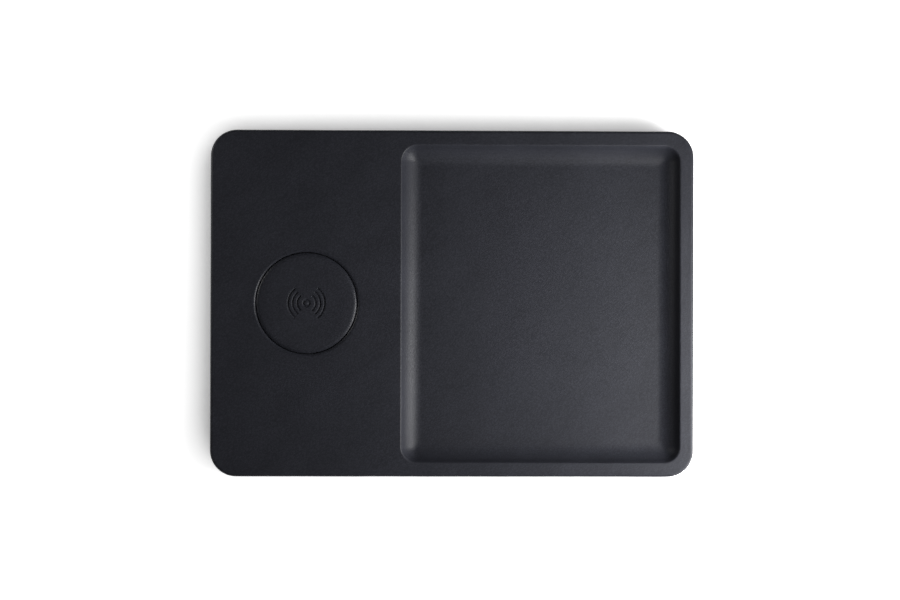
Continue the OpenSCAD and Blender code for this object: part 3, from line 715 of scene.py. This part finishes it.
def cover_cutter():
    """The port's opening and the six screw holes of the hem, as one closed cutter."""
    form = bmesh.new()
    slip = 0.15 * MM
    middle = (TRIM_LOW.x + TRIM_HIGH.x) / 2
    height = (SHELL_LOW.z + SHELL_HIGH.z) / 2
    radius = 3.1 * MM + slip
    straight = 10.5 * MM + slip - radius
    ring = []
    for side, start in ((1, -90), (-1, 90)):
        for k in range(17):
            a = math.radians(start + 180 * k / 16)
            ring.append((middle + side * straight + radius * math.cos(a), height + radius * math.sin(a)))
    near = [form.verts.new((x, COVER_HIGH.y + 2 * MM, z)) for x, z in ring]
    far = [form.verts.new((x, COVER_HIGH.y - 3 * MM, z)) for x, z in ring]
    count = len(ring)
    form.faces.new(near)
    form.faces.new(far[::-1])
    for k in range(count):
        n = (k + 1) % count
        form.faces.new((near[k], far[k], far[n], near[n]))
    for x, y in screw_places():
        spot = Matrix.Translation((x, y, COVER_LOW.z))
        bmesh.ops.create_cone(
            form, cap_ends=True, segments=24, radius1=1.3 * MM, radius2=1.3 * MM,
            depth=4 * MM, matrix=spot,
        )
    bmesh.ops.recalc_face_normals(form, faces=form.faces)
    mesh = bpy.data.meshes.new("cover_cutter")
    form.to_mesh(mesh)
    form.free()
    return new_object("cover_cutter", mesh)


def screw_places():
    """The six screws' axes: four corners and two left of the basin."""
    s = settings()
    inset = s.underside.head_diameter / 2
    left, right = SCREW_LOW.x + inset, SCREW_HIGH.x - inset
    front, rear = SCREW_LOW.y + inset, SCREW_HIGH.y - inset
    middle = COVER_LOW.x + s.underside.middle_screws
    return [(x, y) for x in (left, middle, right) for y in (front, rear)]


class ORGANIZER_OT_leather_cover(bpy.types.Operator):
    """One hide over deck, basin, lips and sides, turned under as a hem"""

    bl_idname = "organizer.leather_cover"
    bl_label = "Leather Cover"

    def execute(self, context):
        s, d = settings().cover, settings().disc
        obj = leather_surface(s, d)
        obj.name = "leather_hide"
        ripple_hide(obj, s, d)
        hem_pleats(obj, s)
        wall = obj.modifiers.new("Thickness", "SOLIDIFY")
        wall.thickness, wall.offset, wall.use_even_offset = s.thickness, -1, True
        settle(obj)
        cut(obj, cover_cutter())
        smooth(obj, 40)
        centre = ((DISC_LOW.x + DISC_HIGH.x) / 2, (DISC_LOW.y + DISC_HIGH.y) / 2)
        burnish(obj, centre, d.hole_diameter / 2 + d.hole_edge / 2, d.burnish, COVER_HIGH.z - d.hole_drop)
        place(obj, grain_leather("grain_leather_black", s.hide, s.painted_crease_shade), "black_leather",
              "leather_cover")
        return {"FINISHED"}


# The charging disc


def mark_tree(material):
    """Presses a small ring with arcs on both sides into the top of a disc."""
    tree, given = node_tree("Pressed Mark", {
        "Centre": "Vector", "Top": "Float", "Ring Radius": "Float", "First Arc": "Float",
        "Arc Pitch": "Float", "Arcs": "Int", "Half Angle": "Float", "Line Width": "Float",
        "Line Depth": "Float", "Line Wall": "Float",
    })

    def do(operation, *terms):
        values = {i: t for i, t in enumerate(terms) if isinstance(t, (int, float))}
        links = {i: t for i, t in enumerate(terms) if not isinstance(t, (int, float))}
        return add(tree, "ShaderNodeMath", math_node(operation), values, links)

    def trough(distance):
        """1 inside the line and 0 outside, over the wall's width."""
        half = do("MULTIPLY", given["Line Width"], 0.5)
        wall = do("MULTIPLY", given["Line Wall"], 0.5)
        return add(
            tree, "ShaderNodeMapRange", {"interpolation_type": "SMOOTHSTEP"},
            {"To Min": 1.0, "To Max": 0.0},
            {"Value": distance, "From Min": do("SUBTRACT", half, wall),
             "From Max": do("ADD", half, wall)},
        )

    spot = add(
        tree, "ShaderNodeVectorMath", math_node("SUBTRACT"),
        links={0: add(tree, "GeometryNodeInputPosition"), 1: given["Centre"]},
    )
    parts = add(tree, "ShaderNodeSeparateXYZ", links={0: spot}).outputs
    across, along = do("ABSOLUTE", parts["X"]), do("ABSOLUTE", parts["Y"])
    radius = do("SQRT", do("ADD", do("POWER", across, 2.0), do("POWER", along, 2.0)))
    turn = do("ARCTAN2", along, across)
    index = do("ROUND", do("DIVIDE", do("SUBTRACT", radius, given["First Arc"]), given["Arc Pitch"]))
    index = do("MINIMUM", do("MAXIMUM", index, 0.0), do("SUBTRACT", given["Arcs"], 1.0))
    nearest = do("ADD", given["First Arc"], do("MULTIPLY", index, given["Arc Pitch"]))
    arcs = trough(do("ABSOLUTE", do("SUBTRACT", radius, nearest)))
    beyond = do("MULTIPLY", do("SUBTRACT", turn, given["Half Angle"]), radius)
    ends = trough(do("ADD", beyond, do("MULTIPLY", given["Line Width"], 0.5)))
    ring = trough(do("ABSOLUTE", do("SUBTRACT", radius, given["Ring Radius"])))
    pressed = do("MAXIMUM", do("MULTIPLY", arcs, ends), ring)
    drop = do("MULTIPLY", pressed, do("MULTIPLY", given["Line Depth"], -1.0))
    on_top = do("GREATER_THAN", parts["Z"], do("SUBTRACT", given["Top"], 0.4 * MM))
    shift = add(tree, "ShaderNodeCombineXYZ", links={"Z": do("MULTIPLY", drop, on_top)})
    moved = add(
        tree, "GeometryNodeSetPosition", links={"Geometry": given["Geometry"], "Offset": shift}
    )
    close_tree(tree, moved, material)
    return tree


def disc_form(d):
    """The disc's leather: a crowned top, a rounded edge and a skirt over the cup."""
    centre = ((DISC_LOW.x + DISC_HIGH.x) / 2, (DISC_LOW.y + DISC_HIGH.y) / 2)
    radius, top, low = (DISC_HIGH.x - DISC_LOW.x) / 2, DISC_HIGH.z, DISC_LOW.z
    hide = settings().cover.thickness
    flat = radius - d.edge_width

    def height(r):
        fall = max(0.0, (r - (flat - d.crown_width)) / d.crown_width)
        return top - d.crown * fall * fall

    radii = []
    lines = [d.ring_radius] + [d.first_arc + i * d.arc_pitch for i in range(d.arcs)]
    for line in lines:
        for side in (-1, 1):
            edge = line + side * d.line_width / 2
            radii += [edge + k * d.line_wall / 6 for k in (-3, -2, -1, 0, 1, 2, 3)]
        radii.append(line)
    gaps = np.linspace(0.25 * MM, flat, 40)
    radii += [r for r in gaps if min(abs(r - x) for x in radii) > 0.14 * MM]
    radii = sorted(r for r in radii if r > 0.1 * MM)
    turns = set(np.round(np.arange(0, 360, 2.5), 3))
    end = math.degrees(d.half_angle)
    for quarter in (end, 180 - end, 180 + end, 360 - end):
        turns |= {round(quarter + k, 3) for k in (-1.5, -0.9, -0.3, 0.3, 0.9, 1.5)}
    turns = np.radians(sorted(turns))
    round_dir = np.stack([np.cos(turns), np.sin(turns)], 1)
    section = [(r, height(r)) for r in radii if r < flat] + [(flat, height(flat))]
    edge_top = height(flat)
    for a in np.radians(np.linspace(82, 0, 12)):
        section.append((
            flat + d.edge_width * math.cos(a), edge_top - d.edge_height * (1 - math.sin(a))
        ))
    section += arc((radius - d.low_edge, low + d.low_edge), d.low_edge, 0, -90, 3)
    section += [(radius - hide, low), (radius - hide, top - hide)]
    skin = Skin()
    rings = [skin.ring(np.array(centre) + r * round_dir, z) for r, z in section[::-1]]
    skin.loft(rings)
    count = len(turns)
    for ring, z, forward in ((rings[-1], top, True), (rings[0], top - hide, False)):
        pole = len(skin.points)
        skin.points.append((*centre, z))
        for k in range(count):
            pair = (ring[k], ring[(k + 1) % count])
            skin.faces.append((*(pair if forward else pair[::-1]), pole))
    return skin.object("disc_hide"), centre, top


class ORGANIZER_OT_disc_leather(bpy.types.Operator):
    """Leather of the charging disc, with the wave mark pressed into it"""

    bl_idname = "organizer.disc_leather"
    bl_label = "Disc Leather"

    def execute(self, context):
        s, d = settings().cover, settings().disc
        material = grain_leather("grain_leather_disc", s.hide, s.painted_crease_shade)
        obj, centre, top = disc_form(d)
        for vertex in obj.data.vertices:
            vertex.co.z += 0.6 * s.ripple * unevenness(vertex.co, 9.1)
        grow(obj, mark_tree(material), {
            "Centre": (*centre, 0.0), "Top": top, "Ring Radius": d.ring_radius,
            "First Arc": d.first_arc, "Arc Pitch": d.arc_pitch, "Arcs": d.arcs,
            "Half Angle": d.half_angle, "Line Width": d.line_width,
            "Line Depth": d.line_depth, "Line Wall": d.line_wall,
        })
        smooth(obj, 50)
        edge = (DISC_HIGH.x - DISC_LOW.x) / 2 - 0.3 * d.edge_width
        burnish(obj, centre, edge, d.burnish, top - 2 * d.edge_height)
        place(obj, material, "black_leather", "disc_leather")
        return {"FINISHED"}


# Under the tray


def corner_tree(name, material):
    """Repeats a form at the corners of a rectangle, and if asked at a middle pair."""
    tree, given = node_tree(name, {
        "Size X": "Float", "Size Y": "Float", "Middle X": "Float", "Middle Pair": "Bool",
        "Centre": "Vector", "Turn": "Float",
    })
    corners = add(
        tree, "GeometryNodeMeshGrid", values={"Vertices X": 2, "Vertices Y": 2},
        links={"Size X": given["Size X"], "Size Y": given["Size Y"]},
    )
    half = add(tree, "ShaderNodeMath", math_node("MULTIPLY"), {1: 0.5}, {0: given["Size Y"]})
    back = add(tree, "ShaderNodeMath", math_node("MULTIPLY"), {1: -0.5}, {0: given["Size Y"]})
    ends = [
        add(tree, "ShaderNodeCombineXYZ", links={"X": given["Middle X"], "Y": y})
        for y in (back, half)
    ]
    pair = add(
        tree, "GeometryNodeMeshLine", {"mode": "END_POINTS"}, {"Count": 2},
        {"Start Location": ends[0], "Offset": ends[1]},
    )
    wanted = add(
        tree, "GeometryNodeSwitch", {"input_type": "GEOMETRY"},
        links={"Switch": given["Middle Pair"], "True": pair},
    )
    spots = add(tree, "GeometryNodeJoinGeometry", links={0: corners.outputs["Mesh"]})
    tree.links.new(wanted.outputs[0], spots.inputs[0])
    spots = add(
        tree, "GeometryNodeSetPosition", links={"Geometry": spots, "Offset": given["Centre"]}
    )
    turn = add(
        tree, "FunctionNodeRandomValue", {"data_type": "FLOAT"},
        {"Seed": 4}, {3: given["Turn"]},
    )
    turned = add(tree, "ShaderNodeCombineXYZ", links={"Z": turn.outputs[1]})
    copies = add(
        tree, "GeometryNodeInstanceOnPoints",
        links={"Points": spots, "Instance": given["Geometry"], "Rotation": turned},
    )
    close_tree(tree, copies, material)
    return tree


def screw_form(u):
    """A countersunk wood screw, head down, with its thread as ridges and a cross recess."""
    low = 0.0
    head_r, body_r = u.head_diameter / 2, u.thread_diameter / 2
    tip = SCREW_HIGH.z - SCREW_LOW.z
    profile = [(0, low), (head_r - 0.12 * MM, low), (head_r, low + 0.1 * MM)]
    profile += [(head_r, u.head_edge), (body_r * 0.78, u.head_height)]
    z = u.head_height + 0.4 * MM
    while z < tip - 1.3 * MM:
        profile += [(body_r * 0.76, z), (body_r, z + 0.18 * MM), (body_r * 0.76, z + 0.36 * MM)]
        z += u.thread_pitch
    profile += [(body_r * 0.76, tip - 1.1 * MM), (0.12 * MM, tip), (0, tip)]
    obj = lathe("screw_form", profile, 40)
    for turn, depth in ((7, 1.0), (97, 0.96)):
        form = bmesh.new()
        wide, narrow = u.recess_width, u.recess_width / 4.4
        size = Matrix.Diagonal((wide, narrow, u.recess_depth * 2 * depth, 1))
        bmesh.ops.create_cube(form, matrix=Matrix.Rotation(math.radians(turn), 4, "Z") @ size)
        mesh = bpy.data.meshes.new("recess")
        form.to_mesh(mesh)
        form.free()
        cut(obj, new_object("recess", mesh))
    return obj


class ORGANIZER_OT_base_screws(bpy.types.Operator):
    """Six countersunk screws that hold the bottom plate"""

    bl_idname = "organizer.base_screws"
    bl_label = "Base Screws"

    def execute(self, context):
        u = settings().underside
        # Black-oxide steel: a dark, slightly oily sheen, brighter where the driver has rubbed.
        material = solid_finish(
            "black_oxide_steel", "#4a4a4d", "#2b2b2e", 0.34, 0.35, 0.01, metallic=1.0, spread=0.1
        )
        obj = screw_form(u)
        obj.name = "countersunk_screws"
        inset = u.head_diameter / 2
        middle = (SCREW_LOW + SCREW_HIGH) / 2
        spots = screw_places()
        grow(obj, corner_tree("Screws of the Plate", material), {
            "Size X": SCREW_HIGH.x - SCREW_LOW.x - 2 * inset,
            "Size Y": SCREW_HIGH.y - SCREW_LOW.y - 2 * inset,
            "Middle X": spots[2][0], "Middle Pair": True,
            "Centre": (middle.x, middle.y, SCREW_LOW.z), "Turn": math.pi / 2,
        })
        smooth(obj, 35)
        place(obj, material, "black_steel", "base_screws")
        return {"FINISHED"}


class ORGANIZER_OT_foot_pads(bpy.types.Operator):
    """Four rubber feet with grip grooves"""

    bl_idname = "organizer.foot_pads"
    bl_label = "Foot Pads"

    def execute(self, context):
        u = settings().underside
        # Moulded silicone rubber: dull and slightly dusty, with a fine cast grain.
        material = solid_finish(
            "silicone_rubber_black", "#2a2a2b", "#1b1b1c", 0.72, 0.5, 0.012, ior=1.43, spread=0.1
        )
        radius, tall = (FOOT_HIGH.x - FOOT_LOW.x) / 2, FOOT_HIGH.z - FOOT_LOW.z
        profile = [(0, 0)]
        for r in (1.4, 2.7, 4.0):
            for dr, dz in ((-0.32, 0), (-0.2, 1), (0.2, 1), (0.32, 0)):
                profile.append(((r + dr) * MM, dz * u.groove_depth))
        profile += arc((radius - u.foot_edge, u.foot_edge), u.foot_edge, -90, 0, 6)
        profile += [(radius, tall - 0.1 * MM), (radius - 0.1 * MM, tall), (0, tall)]
        feet = ["foot_front_left", "foot_front_right", "foot_rear_left", "foot_rear_right"]
        boxes = [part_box(f) for f in feet]
        middles = [(low + high) / 2 for low, high in boxes]
        xs, ys = [m.x for m in middles], [m.y for m in middles]
        obj = lathe("rubber_feet", profile, 72)
        grow(obj, corner_tree("Feet of the Tray", material), {
            "Size X": max(xs) - min(xs), "Size Y": max(ys) - min(ys), "Middle X": 0.0,
            "Middle Pair": False, "Turn": 0.0,
            "Centre": (sum(xs) / 4, sum(ys) / 4, FOOT_LOW.z),
        })
        smooth(obj, 35)
        place(obj, material, "foot_rubber", *feet)
        return {"FINISHED"}


class ORGANIZER_OT_base_plate(bpy.types.Operator):
    """Moulded bottom plate"""

    bl_idname = "organizer.base_plate"
    bl_label = "Base Plate"

    def execute(self, context):
        # Injection-moulded ABS with a spark-eroded texture: an even, fine, matte stipple.
        material = solid_finish(
            "abs_spark_texture", "#29292b", "#1f1f21", 0.58, 0.42, 0.03, ior=1.53, spread=0.06,
            kind="cells",
        )
        obj = softened("moulded_plate", "base_plate", 0.18)
        place(obj, material, "dark_moulding", "base_plate")
        return {"FINISHED"}


# The port


def contact_tree(material):
    """Repeats a contact in two rows over a socket's tongue."""
    tree, given = node_tree("Contacts of the Socket", {
        "Row Length": "Float", "Row Gap": "Float", "Contacts": "Int", "Centre": "Vector",
    })
    rows = add(
        tree, "GeometryNodeMeshGrid", values={"Vertices Y": 2},
        links={"Size X": given["Row Length"], "Size Y": given["Row Gap"],
               "Vertices X": given["Contacts"]},
    )
    upright = add(
        tree, "GeometryNodeTransform", values={"Rotation": (math.pi / 2, 0, 0)},
        links={"Geometry": rows, "Translation": given["Centre"]},
    )
    copies = add(
        tree, "GeometryNodeInstanceOnPoints",
        links={"Points": upright, "Instance": given["Geometry"]},
    )
    close_tree(tree, copies, material)
    return tree


class ORGANIZER_OT_socket_contacts(bpy.types.Operator):
    """Two rows of gold contacts on the socket's tongue"""

    bl_idname = "organizer.socket_contacts"
    bl_label = "Socket Contacts"

    def execute(self, context):
        # Gold over nickel: warm and smooth, with faint wipe marks from plugs.
        material = solid_finish(
            "contact_gold_plating", "#e6bf6a", "#cfa24c", 0.24, 0.3, 0.002,
            stretch=(1, 8, 1), metallic=1.0, spread=0.08,
        )
        count, pitch, wide, thick = 12, 0.5 * MM, 0.24 * MM, 0.08 * MM
        middle = (CONTACT_LOW + CONTACT_HIGH) / 2
        size = Vector((wide, CONTACT_HIGH.y - CONTACT_LOW.y, thick))
        form = bmesh.new()
        bmesh.ops.create_cube(form, matrix=Matrix.Diagonal((*size, 1)))
        bmesh.ops.bevel(
            form, geom=form.edges[:], offset=0.02 * MM, segments=1, affect="EDGES", profile=0.5
        )
        mesh = bpy.data.meshes.new("gold_contacts")
        form.to_mesh(mesh)
        form.free()
        obj = new_object("gold_contacts", mesh)
        grow(obj, contact_tree(material), {
            "Row Length": (count - 1) * pitch,
            "Row Gap": CONTACT_HIGH.z - CONTACT_LOW.z - thick,
            "Contacts": count, "Centre": tuple(middle),
        })
        smooth(obj, 35)
        place(obj, material, "contact_gold", "usb_socket_contacts")
        return {"FINISHED"}


class ORGANIZER_OT_port(bpy.types.Operator):
    """Trim, socket and light pipe in the rear wall"""

    bl_idname = "organizer.port"
    bl_label = "Port"

    def execute(self, context):
        # Satin ABS: near-black, with the faint stipple of a polished and blasted mould.
        trim = solid_finish(
            "abs_satin_black", "#222225", "#1a1a1c", 0.4, 0.3, 0.006, ior=1.53, spread=0.05
        )
        place(softened("port_surround", "port_trim", 0.22, 3), trim, "black_moulding", "port_trim")
        # Deep-drawn stainless steel: bright, with drawing lines that run into the socket.
        shell = solid_finish(
            "stainless_steel_drawn", "#c9cacc", "#9d9ea2", 0.26, 0.12, 0.003,
            stretch=(1, 14, 1), metallic=1.0, spread=0.08,
        )
        place(softened("socket_shell", "usb_socket_shell", 0.06, 2), shell, "socket_steel",
              "usb_socket_shell")
        # Glass-filled nylon: dull black, with fibres just showing.
        tongue = solid_finish(
            "glass_filled_nylon", "#1d1d1f", "#121213", 0.5, 0.15, 0.004, stretch=(1, 4, 1)
        )
        place(softened("socket_tongue", "usb_socket_tongue", 0.08, 2), tongue, "black_moulding",
              "usb_socket_tongue")
        # Cast acrylic: clear with a polished face, so the dark socket shows through it.
        material, tree, surface = blank_material("acrylic_clear")
        place_at = add(tree, "ShaderNodeTexCoord").outputs["Object"]
        haze = add(
            tree, "ShaderNodeTexNoise", values={"Scale": 1 / (0.6 * MM), "Detail": 2.0},
            links={"Vector": place_at},
        )
        gloss = add(
            tree, "ShaderNodeMapRange", values={"To Min": 0.04, "To Max": 0.16},
            links={"Value": haze},
        )
        tree.links.new(gloss.outputs[0], surface.inputs["Roughness"])
        surface.inputs["Base Color"].default_value = linear("#f2f6f8")
        surface.inputs["IOR"].default_value = 1.49
        surface.inputs["Transmission Weight"].default_value = 0.85
        place(softened("light_window", "light_pipe", 0.12, 2), material, "clear_acrylic",
              "light_pipe")
        return {"FINISHED"}


# What lies inside


class ORGANIZER_OT_inner_parts(bpy.types.Operator):
    """Finishes of the core board and of the electronics"""

    bl_idname = "organizer.inner_parts"
    bl_label = "Inner Parts"

    def execute(self, context):
        finishes = {
            # Milled fibreboard: warm brown, with short fibres and a fuzzy cut face.
            "core_board": solid_finish(
                "fibreboard_milled", "#a98a63", "#876a47", 0.85, 0.7, 0.04, stretch=(3, 1, 0.6)
            ),
            # Black polycarbonate, satin: the moulded cup and the ferrite's holder.
            "charging_cup coil_retainer": solid_finish(
                "polycarbonate_satin", "#26262a", "#1c1c1f", 0.42, 0.4, 0.006, ior=1.58
            ),
            # Enamelled litz copper: orange-brown, with the strands' twist across it.
            "charging_coil": solid_finish(
                "copper_enamelled", "#c9703f", "#94481f", 0.3, 0.22, 0.02, stretch=(1, 1, 3),
                metallic=1.0,
            ),
            # Sintered ferrite: dark grey, matte, with fine pores.
            "ferrite_shield": solid_finish(
                "ferrite_sintered", "#3c3c40", "#26262a", 0.6, 0.25, 0.015, ior=1.9, kind="cells"
            ),
            # Silicone sleeve: soft red, slightly waxy.
            "coil_leads": solid_finish(
                "silicone_sleeve_red", "#b3302a", "#8c211d", 0.5, 0.5, 0.006, ior=1.43
            ),
            # Dipped epoxy bead on tinned leads: glossy black-brown.
            "coil_thermistor": solid_finish(
                "epoxy_dipped", "#35291f", "#211811", 0.22, 0.6, 0.006, ior=1.55
            ),
            # Zinc-plated steel: cool grey with a faint crystal pattern.
            "disc_screws board_screws": solid_finish(
                "zinc_plated_steel", "#b4b7bc", "#8e9298", 0.32, 0.4, 0.006, metallic=1.0,
                kind="cells",
            ),
            # Glass laminate under green solder mask: glossy, with the weave just showing.
            "circuit_board": solid_finish(
                "laminate_green_mask", "#1f6b43", "#17553a", 0.32, 0.45, 0.008, ior=1.55
            ),
            # Natural nylon: milky white, soft sheen.
            "board_spacers": solid_finish(
                "nylon_natural", "#e4e0d4", "#d2cdbe", 0.45, 0.5, 0.006, ior=1.53
            ),
            # Moulded epoxy packages: charcoal, matte from the mould.
            "controller_chip bridge_transistors": solid_finish(
                "epoxy_moulded", "#2b2b2d", "#1f1f21", 0.55, 0.12, 0.006, ior=1.55
            ),
            # Multilayer ceramic: tan, fine and chalky.
            "resonant_capacitors": solid_finish(
                "ceramic_tan", "#b6946a", "#9c7b54", 0.5, 0.2, 0.004, ior=1.7
            ),
            # Pressed iron powder: grey with a sandy grain.
            "power_inductor": solid_finish(
                "iron_powder_pressed", "#5c5d60", "#434447", 0.6, 0.25, 0.02, kind="cells"
            ),
            # Tantalum capacitor resin: mustard yellow, satin.
            "filter_capacitors": solid_finish(
                "resin_mustard", "#cfa136", "#b58724", 0.42, 0.3, 0.004, ior=1.55
            ),
            # Glazed thick film: glossy black.
            "chip_resistors": solid_finish(
                "thick_film_glaze", "#1b1b1d", "#111113", 0.25, 0.2, 0.003, ior=1.55
            ),
            # Filled silicone sheet: pale blue-grey, soft and dull.
            "thermal_pad": solid_finish(
                "gap_filler_silicone", "#8f9eb0", "#7a8899", 0.8, 0.4, 0.02, ior=1.43
            ),
            # Diffusing epoxy lens: milky white.
            "status_led": solid_finish(
                "led_lens_milky", "#eef0ee", "#dcdfdc", 0.35, 0.5, 0.003, ior=1.54
            ),
        }
        for names, material in finishes.items():
            for name in names.split():
                for slot in NODES[name].material_slots:
                    slot.material = material
        return {"FINISHED"}


# The stage


class ORGANIZER_OT_stage(bpy.types.Operator):
    """Floor, world, lamps and camera"""

    bl_idname = "organizer.stage"
    bl_label = "Stage"

    def execute(self, context):
        scene, s = bpy.context.scene, settings().stage
        skin = Skin()
        edge = 2.0
        corners = [(edge, edge), (-edge, edge), (-edge, -edge), (edge, -edge)]
        skin.faces.append(skin.ring(corners, 0.0))
        floor = skin.object("studio_floor")
        material, tree, surface = blank_material("studio_paper_white")
        surface.inputs["Base Color"].default_value = linear("#f4f4f4")
        surface.inputs["Roughness"].default_value = 0.9
        surface.inputs["Specular IOR Level"].default_value = 0.0
        # Painted shadow: near the tray, ambient occlusion dims the paper's glow. The occlusion is taken about
        # a normal tilted toward the key, so the painted shadow falls most on the side away from the key.
        key_side = add(tree, "ShaderNodeCombineXYZ", values={"X": 0.5, "Y": -0.3, "Z": 0.81})
        painted_floor_shadow = add(
            tree, "ShaderNodeAmbientOcclusion", {"samples": 12}, {"Distance": s.shade_reach},
            {"Normal": key_side},
        ).outputs["AO"]
        falloff = add(tree, "ShaderNodeValToRGB", links={"Fac": painted_floor_shadow})
        stops = ((0.42, s.shade), (0.60, 0.66), (0.92, 1.0))
        while len(falloff.color_ramp.elements) < len(stops):
            falloff.color_ramp.elements.new(0.5)
        for stop, (position, level) in zip(falloff.color_ramp.elements, stops):
            stop.position, stop.color = position, (level, level, level, 1)
        painted_floor_shadow = falloff.outputs["Color"]
        rays = add(tree, "ShaderNodeLightPath").outputs
        seen = add(
            tree, "ShaderNodeMath", math_node("MAXIMUM"),
            links={0: rays["Is Camera Ray"], 1: rays["Is Glossy Ray"]},
        )
        seen = add(
            tree, "ShaderNodeMath", math_node("MAXIMUM"),
            links={0: seen, 1: rays["Is Transmission Ray"]},
        )
        glow = add(tree, "ShaderNodeMath", math_node("MULTIPLY"), links={0: painted_floor_shadow, 1: seen})
        # The paper's back is clear, so that the tray's underside can be looked at from below.
        output = next(n for n in tree.nodes if n.type == "OUTPUT_MATERIAL")
        behind = add(tree, "ShaderNodeNewGeometry").outputs["Backfacing"]
        clear = add(tree, "ShaderNodeBsdfTransparent")
        sides = add(tree, "ShaderNodeMixShader", links={0: behind, 1: surface, 2: clear})
        tree.links.new(sides.outputs[0], output.inputs["Surface"])
        surface.inputs["Emission Color"].default_value = (1, 1, 1, 1)
        tree.links.new(glow.outputs[0], surface.inputs["Emission Strength"])
        floor.data.materials.append(material)

        world = bpy.data.worlds.new("studio_world")
        world.use_nodes = True
        scene.world = world
        tree = world.node_tree
        tree.nodes.clear()
        rays = add(tree, "ShaderNodeLightPath").outputs
        direction = add(tree, "ShaderNodeTexCoord").outputs["Generated"]
        up = add(tree, "ShaderNodeSeparateXYZ", links={0: direction}).outputs["Z"]
        horizon = add(
            tree, "ShaderNodeMapRange", {"interpolation_type": "SMOOTHSTEP"},
            {"From Min": 0.05, "From Max": 0.3, "To Min": s.horizon, "To Max": 0.0}, {"Value": up},
        )
        mirrored = add(
            tree, "ShaderNodeMath", math_node("MAXIMUM"),
            links={0: rays["Is Glossy Ray"], 1: rays["Is Transmission Ray"]},
        )
        backdrop = add(
            tree, "ShaderNodeMath", math_node("MULTIPLY"), links={0: mirrored, 1: horizon}
        )
        white = add(
            tree, "ShaderNodeMath", math_node("MAXIMUM"),
            links={0: rays["Is Camera Ray"], 1: backdrop},
        )
        level = add(
            tree, "ShaderNodeMix", {"data_type": "FLOAT"}, {"A": s.ambient, "B": 1.0},
            {"Factor": white},
        )
        sky = add(tree, "ShaderNodeBackground", links={"Strength": level})
        sky.inputs["Color"].default_value = (1, 1, 1, 1)
        add(tree, "ShaderNodeOutputWorld", links={"Surface": sky})

        # One tall soft box close by at the right, in four panels, and a low fill opposite.
        lamps = {
            "key_softbox_low": ((0.29, -0.10, 0.07), (0.20, 0.08), 0.22 * s.key_power),
            "key_softbox_front": ((0.26, -0.19, 0.07), (0.20, 0.08), 0.17 * s.key_power),
            "key_softbox_middle": ((0.23, -0.05, 0.17), (0.14, 0.12), 0.30 * s.key_power),
            "key_softbox_high": ((0.27, -0.08, 0.26), (0.20, 0.10), 0.31 * s.key_power),
            "fill_softbox": ((-0.33, 0.10, 0.10), (0.16, 0.10), s.fill_power),
        }
        for name, (spot, size, power) in lamps.items():
            lamp = bpy.data.lights.new(name, "AREA")
            lamp.shape, lamp.size, lamp.size_y, lamp.energy = "RECTANGLE", *size, power
            obj = bpy.data.objects.new(name, lamp)
            scene.collection.objects.link(obj)
            obj.location = spot
            obj.rotation_euler = (-Vector(spot)).to_track_quat("-Z", "Y").to_euler()
            obj.visible_camera = False

        # Found by least squares from the tray's edges, the basin's mouth and the disc.
        lens = bpy.data.cameras.new("photo_camera")
        lens.sensor_width, lens.lens = 36.0, 79.24
        lens.clip_start, lens.clip_end = 0.05, 20.0
        camera = bpy.data.objects.new("photo_camera", lens)
        scene.collection.objects.link(camera)
        camera.location = (-0.01843, -0.00238, 1.0)
        camera.rotation_euler = [math.radians(a) for a in (0.238, -1.004, 0.155)]
        scene.camera = camera
        scene.view_settings.view_transform = "Standard"
        return {"FINISHED"}


OPERATORS = (
    ORGANIZER_OT_leather_cover, ORGANIZER_OT_disc_leather, ORGANIZER_OT_base_screws,
    ORGANIZER_OT_foot_pads, ORGANIZER_OT_base_plate, ORGANIZER_OT_socket_contacts,
    ORGANIZER_OT_port, ORGANIZER_OT_inner_parts, ORGANIZER_OT_stage,
)


class ORGANIZER_PT_sidebar(bpy.types.Panel):
    """The organizer's pieces and their sizes"""

    bl_label = "Charging Station Organizer"
    bl_idname = "ORGANIZER_PT_sidebar"
    bl_space_type = "VIEW_3D"
    bl_region_type = "UI"
    bl_category = "Organizer"

    def draw(self, context):
        for group in ("cover", "disc", "underside", "stage"):
            box = self.layout.box()
            box.label(text=group.title())
            owner = getattr(context.scene.organizer, group)
            for name in owner.bl_rna.properties.keys():
                if name not in ("rna_type", "name"):
                    box.prop(owner, name)
        for operator in OPERATORS:
            self.layout.operator(operator.bl_idname)


CLASSES = (
    CoverSettings, DiscSettings, UndersideSettings, StageSettings, OrganizerSettings,
    *OPERATORS, ORGANIZER_PT_sidebar,
)


def register():
    for cls in CLASSES:
        bpy.utils.register_class(cls)
    bpy.types.Scene.organizer = PointerProperty(type=OrganizerSettings)


def unregister():
    del bpy.types.Scene.organizer
    for cls in reversed(CLASSES):
        bpy.utils.unregister_class(cls)


def main():
    register()
    for operator in OPERATORS:
        group, name = operator.bl_idname.split(".")
        getattr(getattr(bpy.ops, group), name)()


if __name__ == "__main__":
    main()
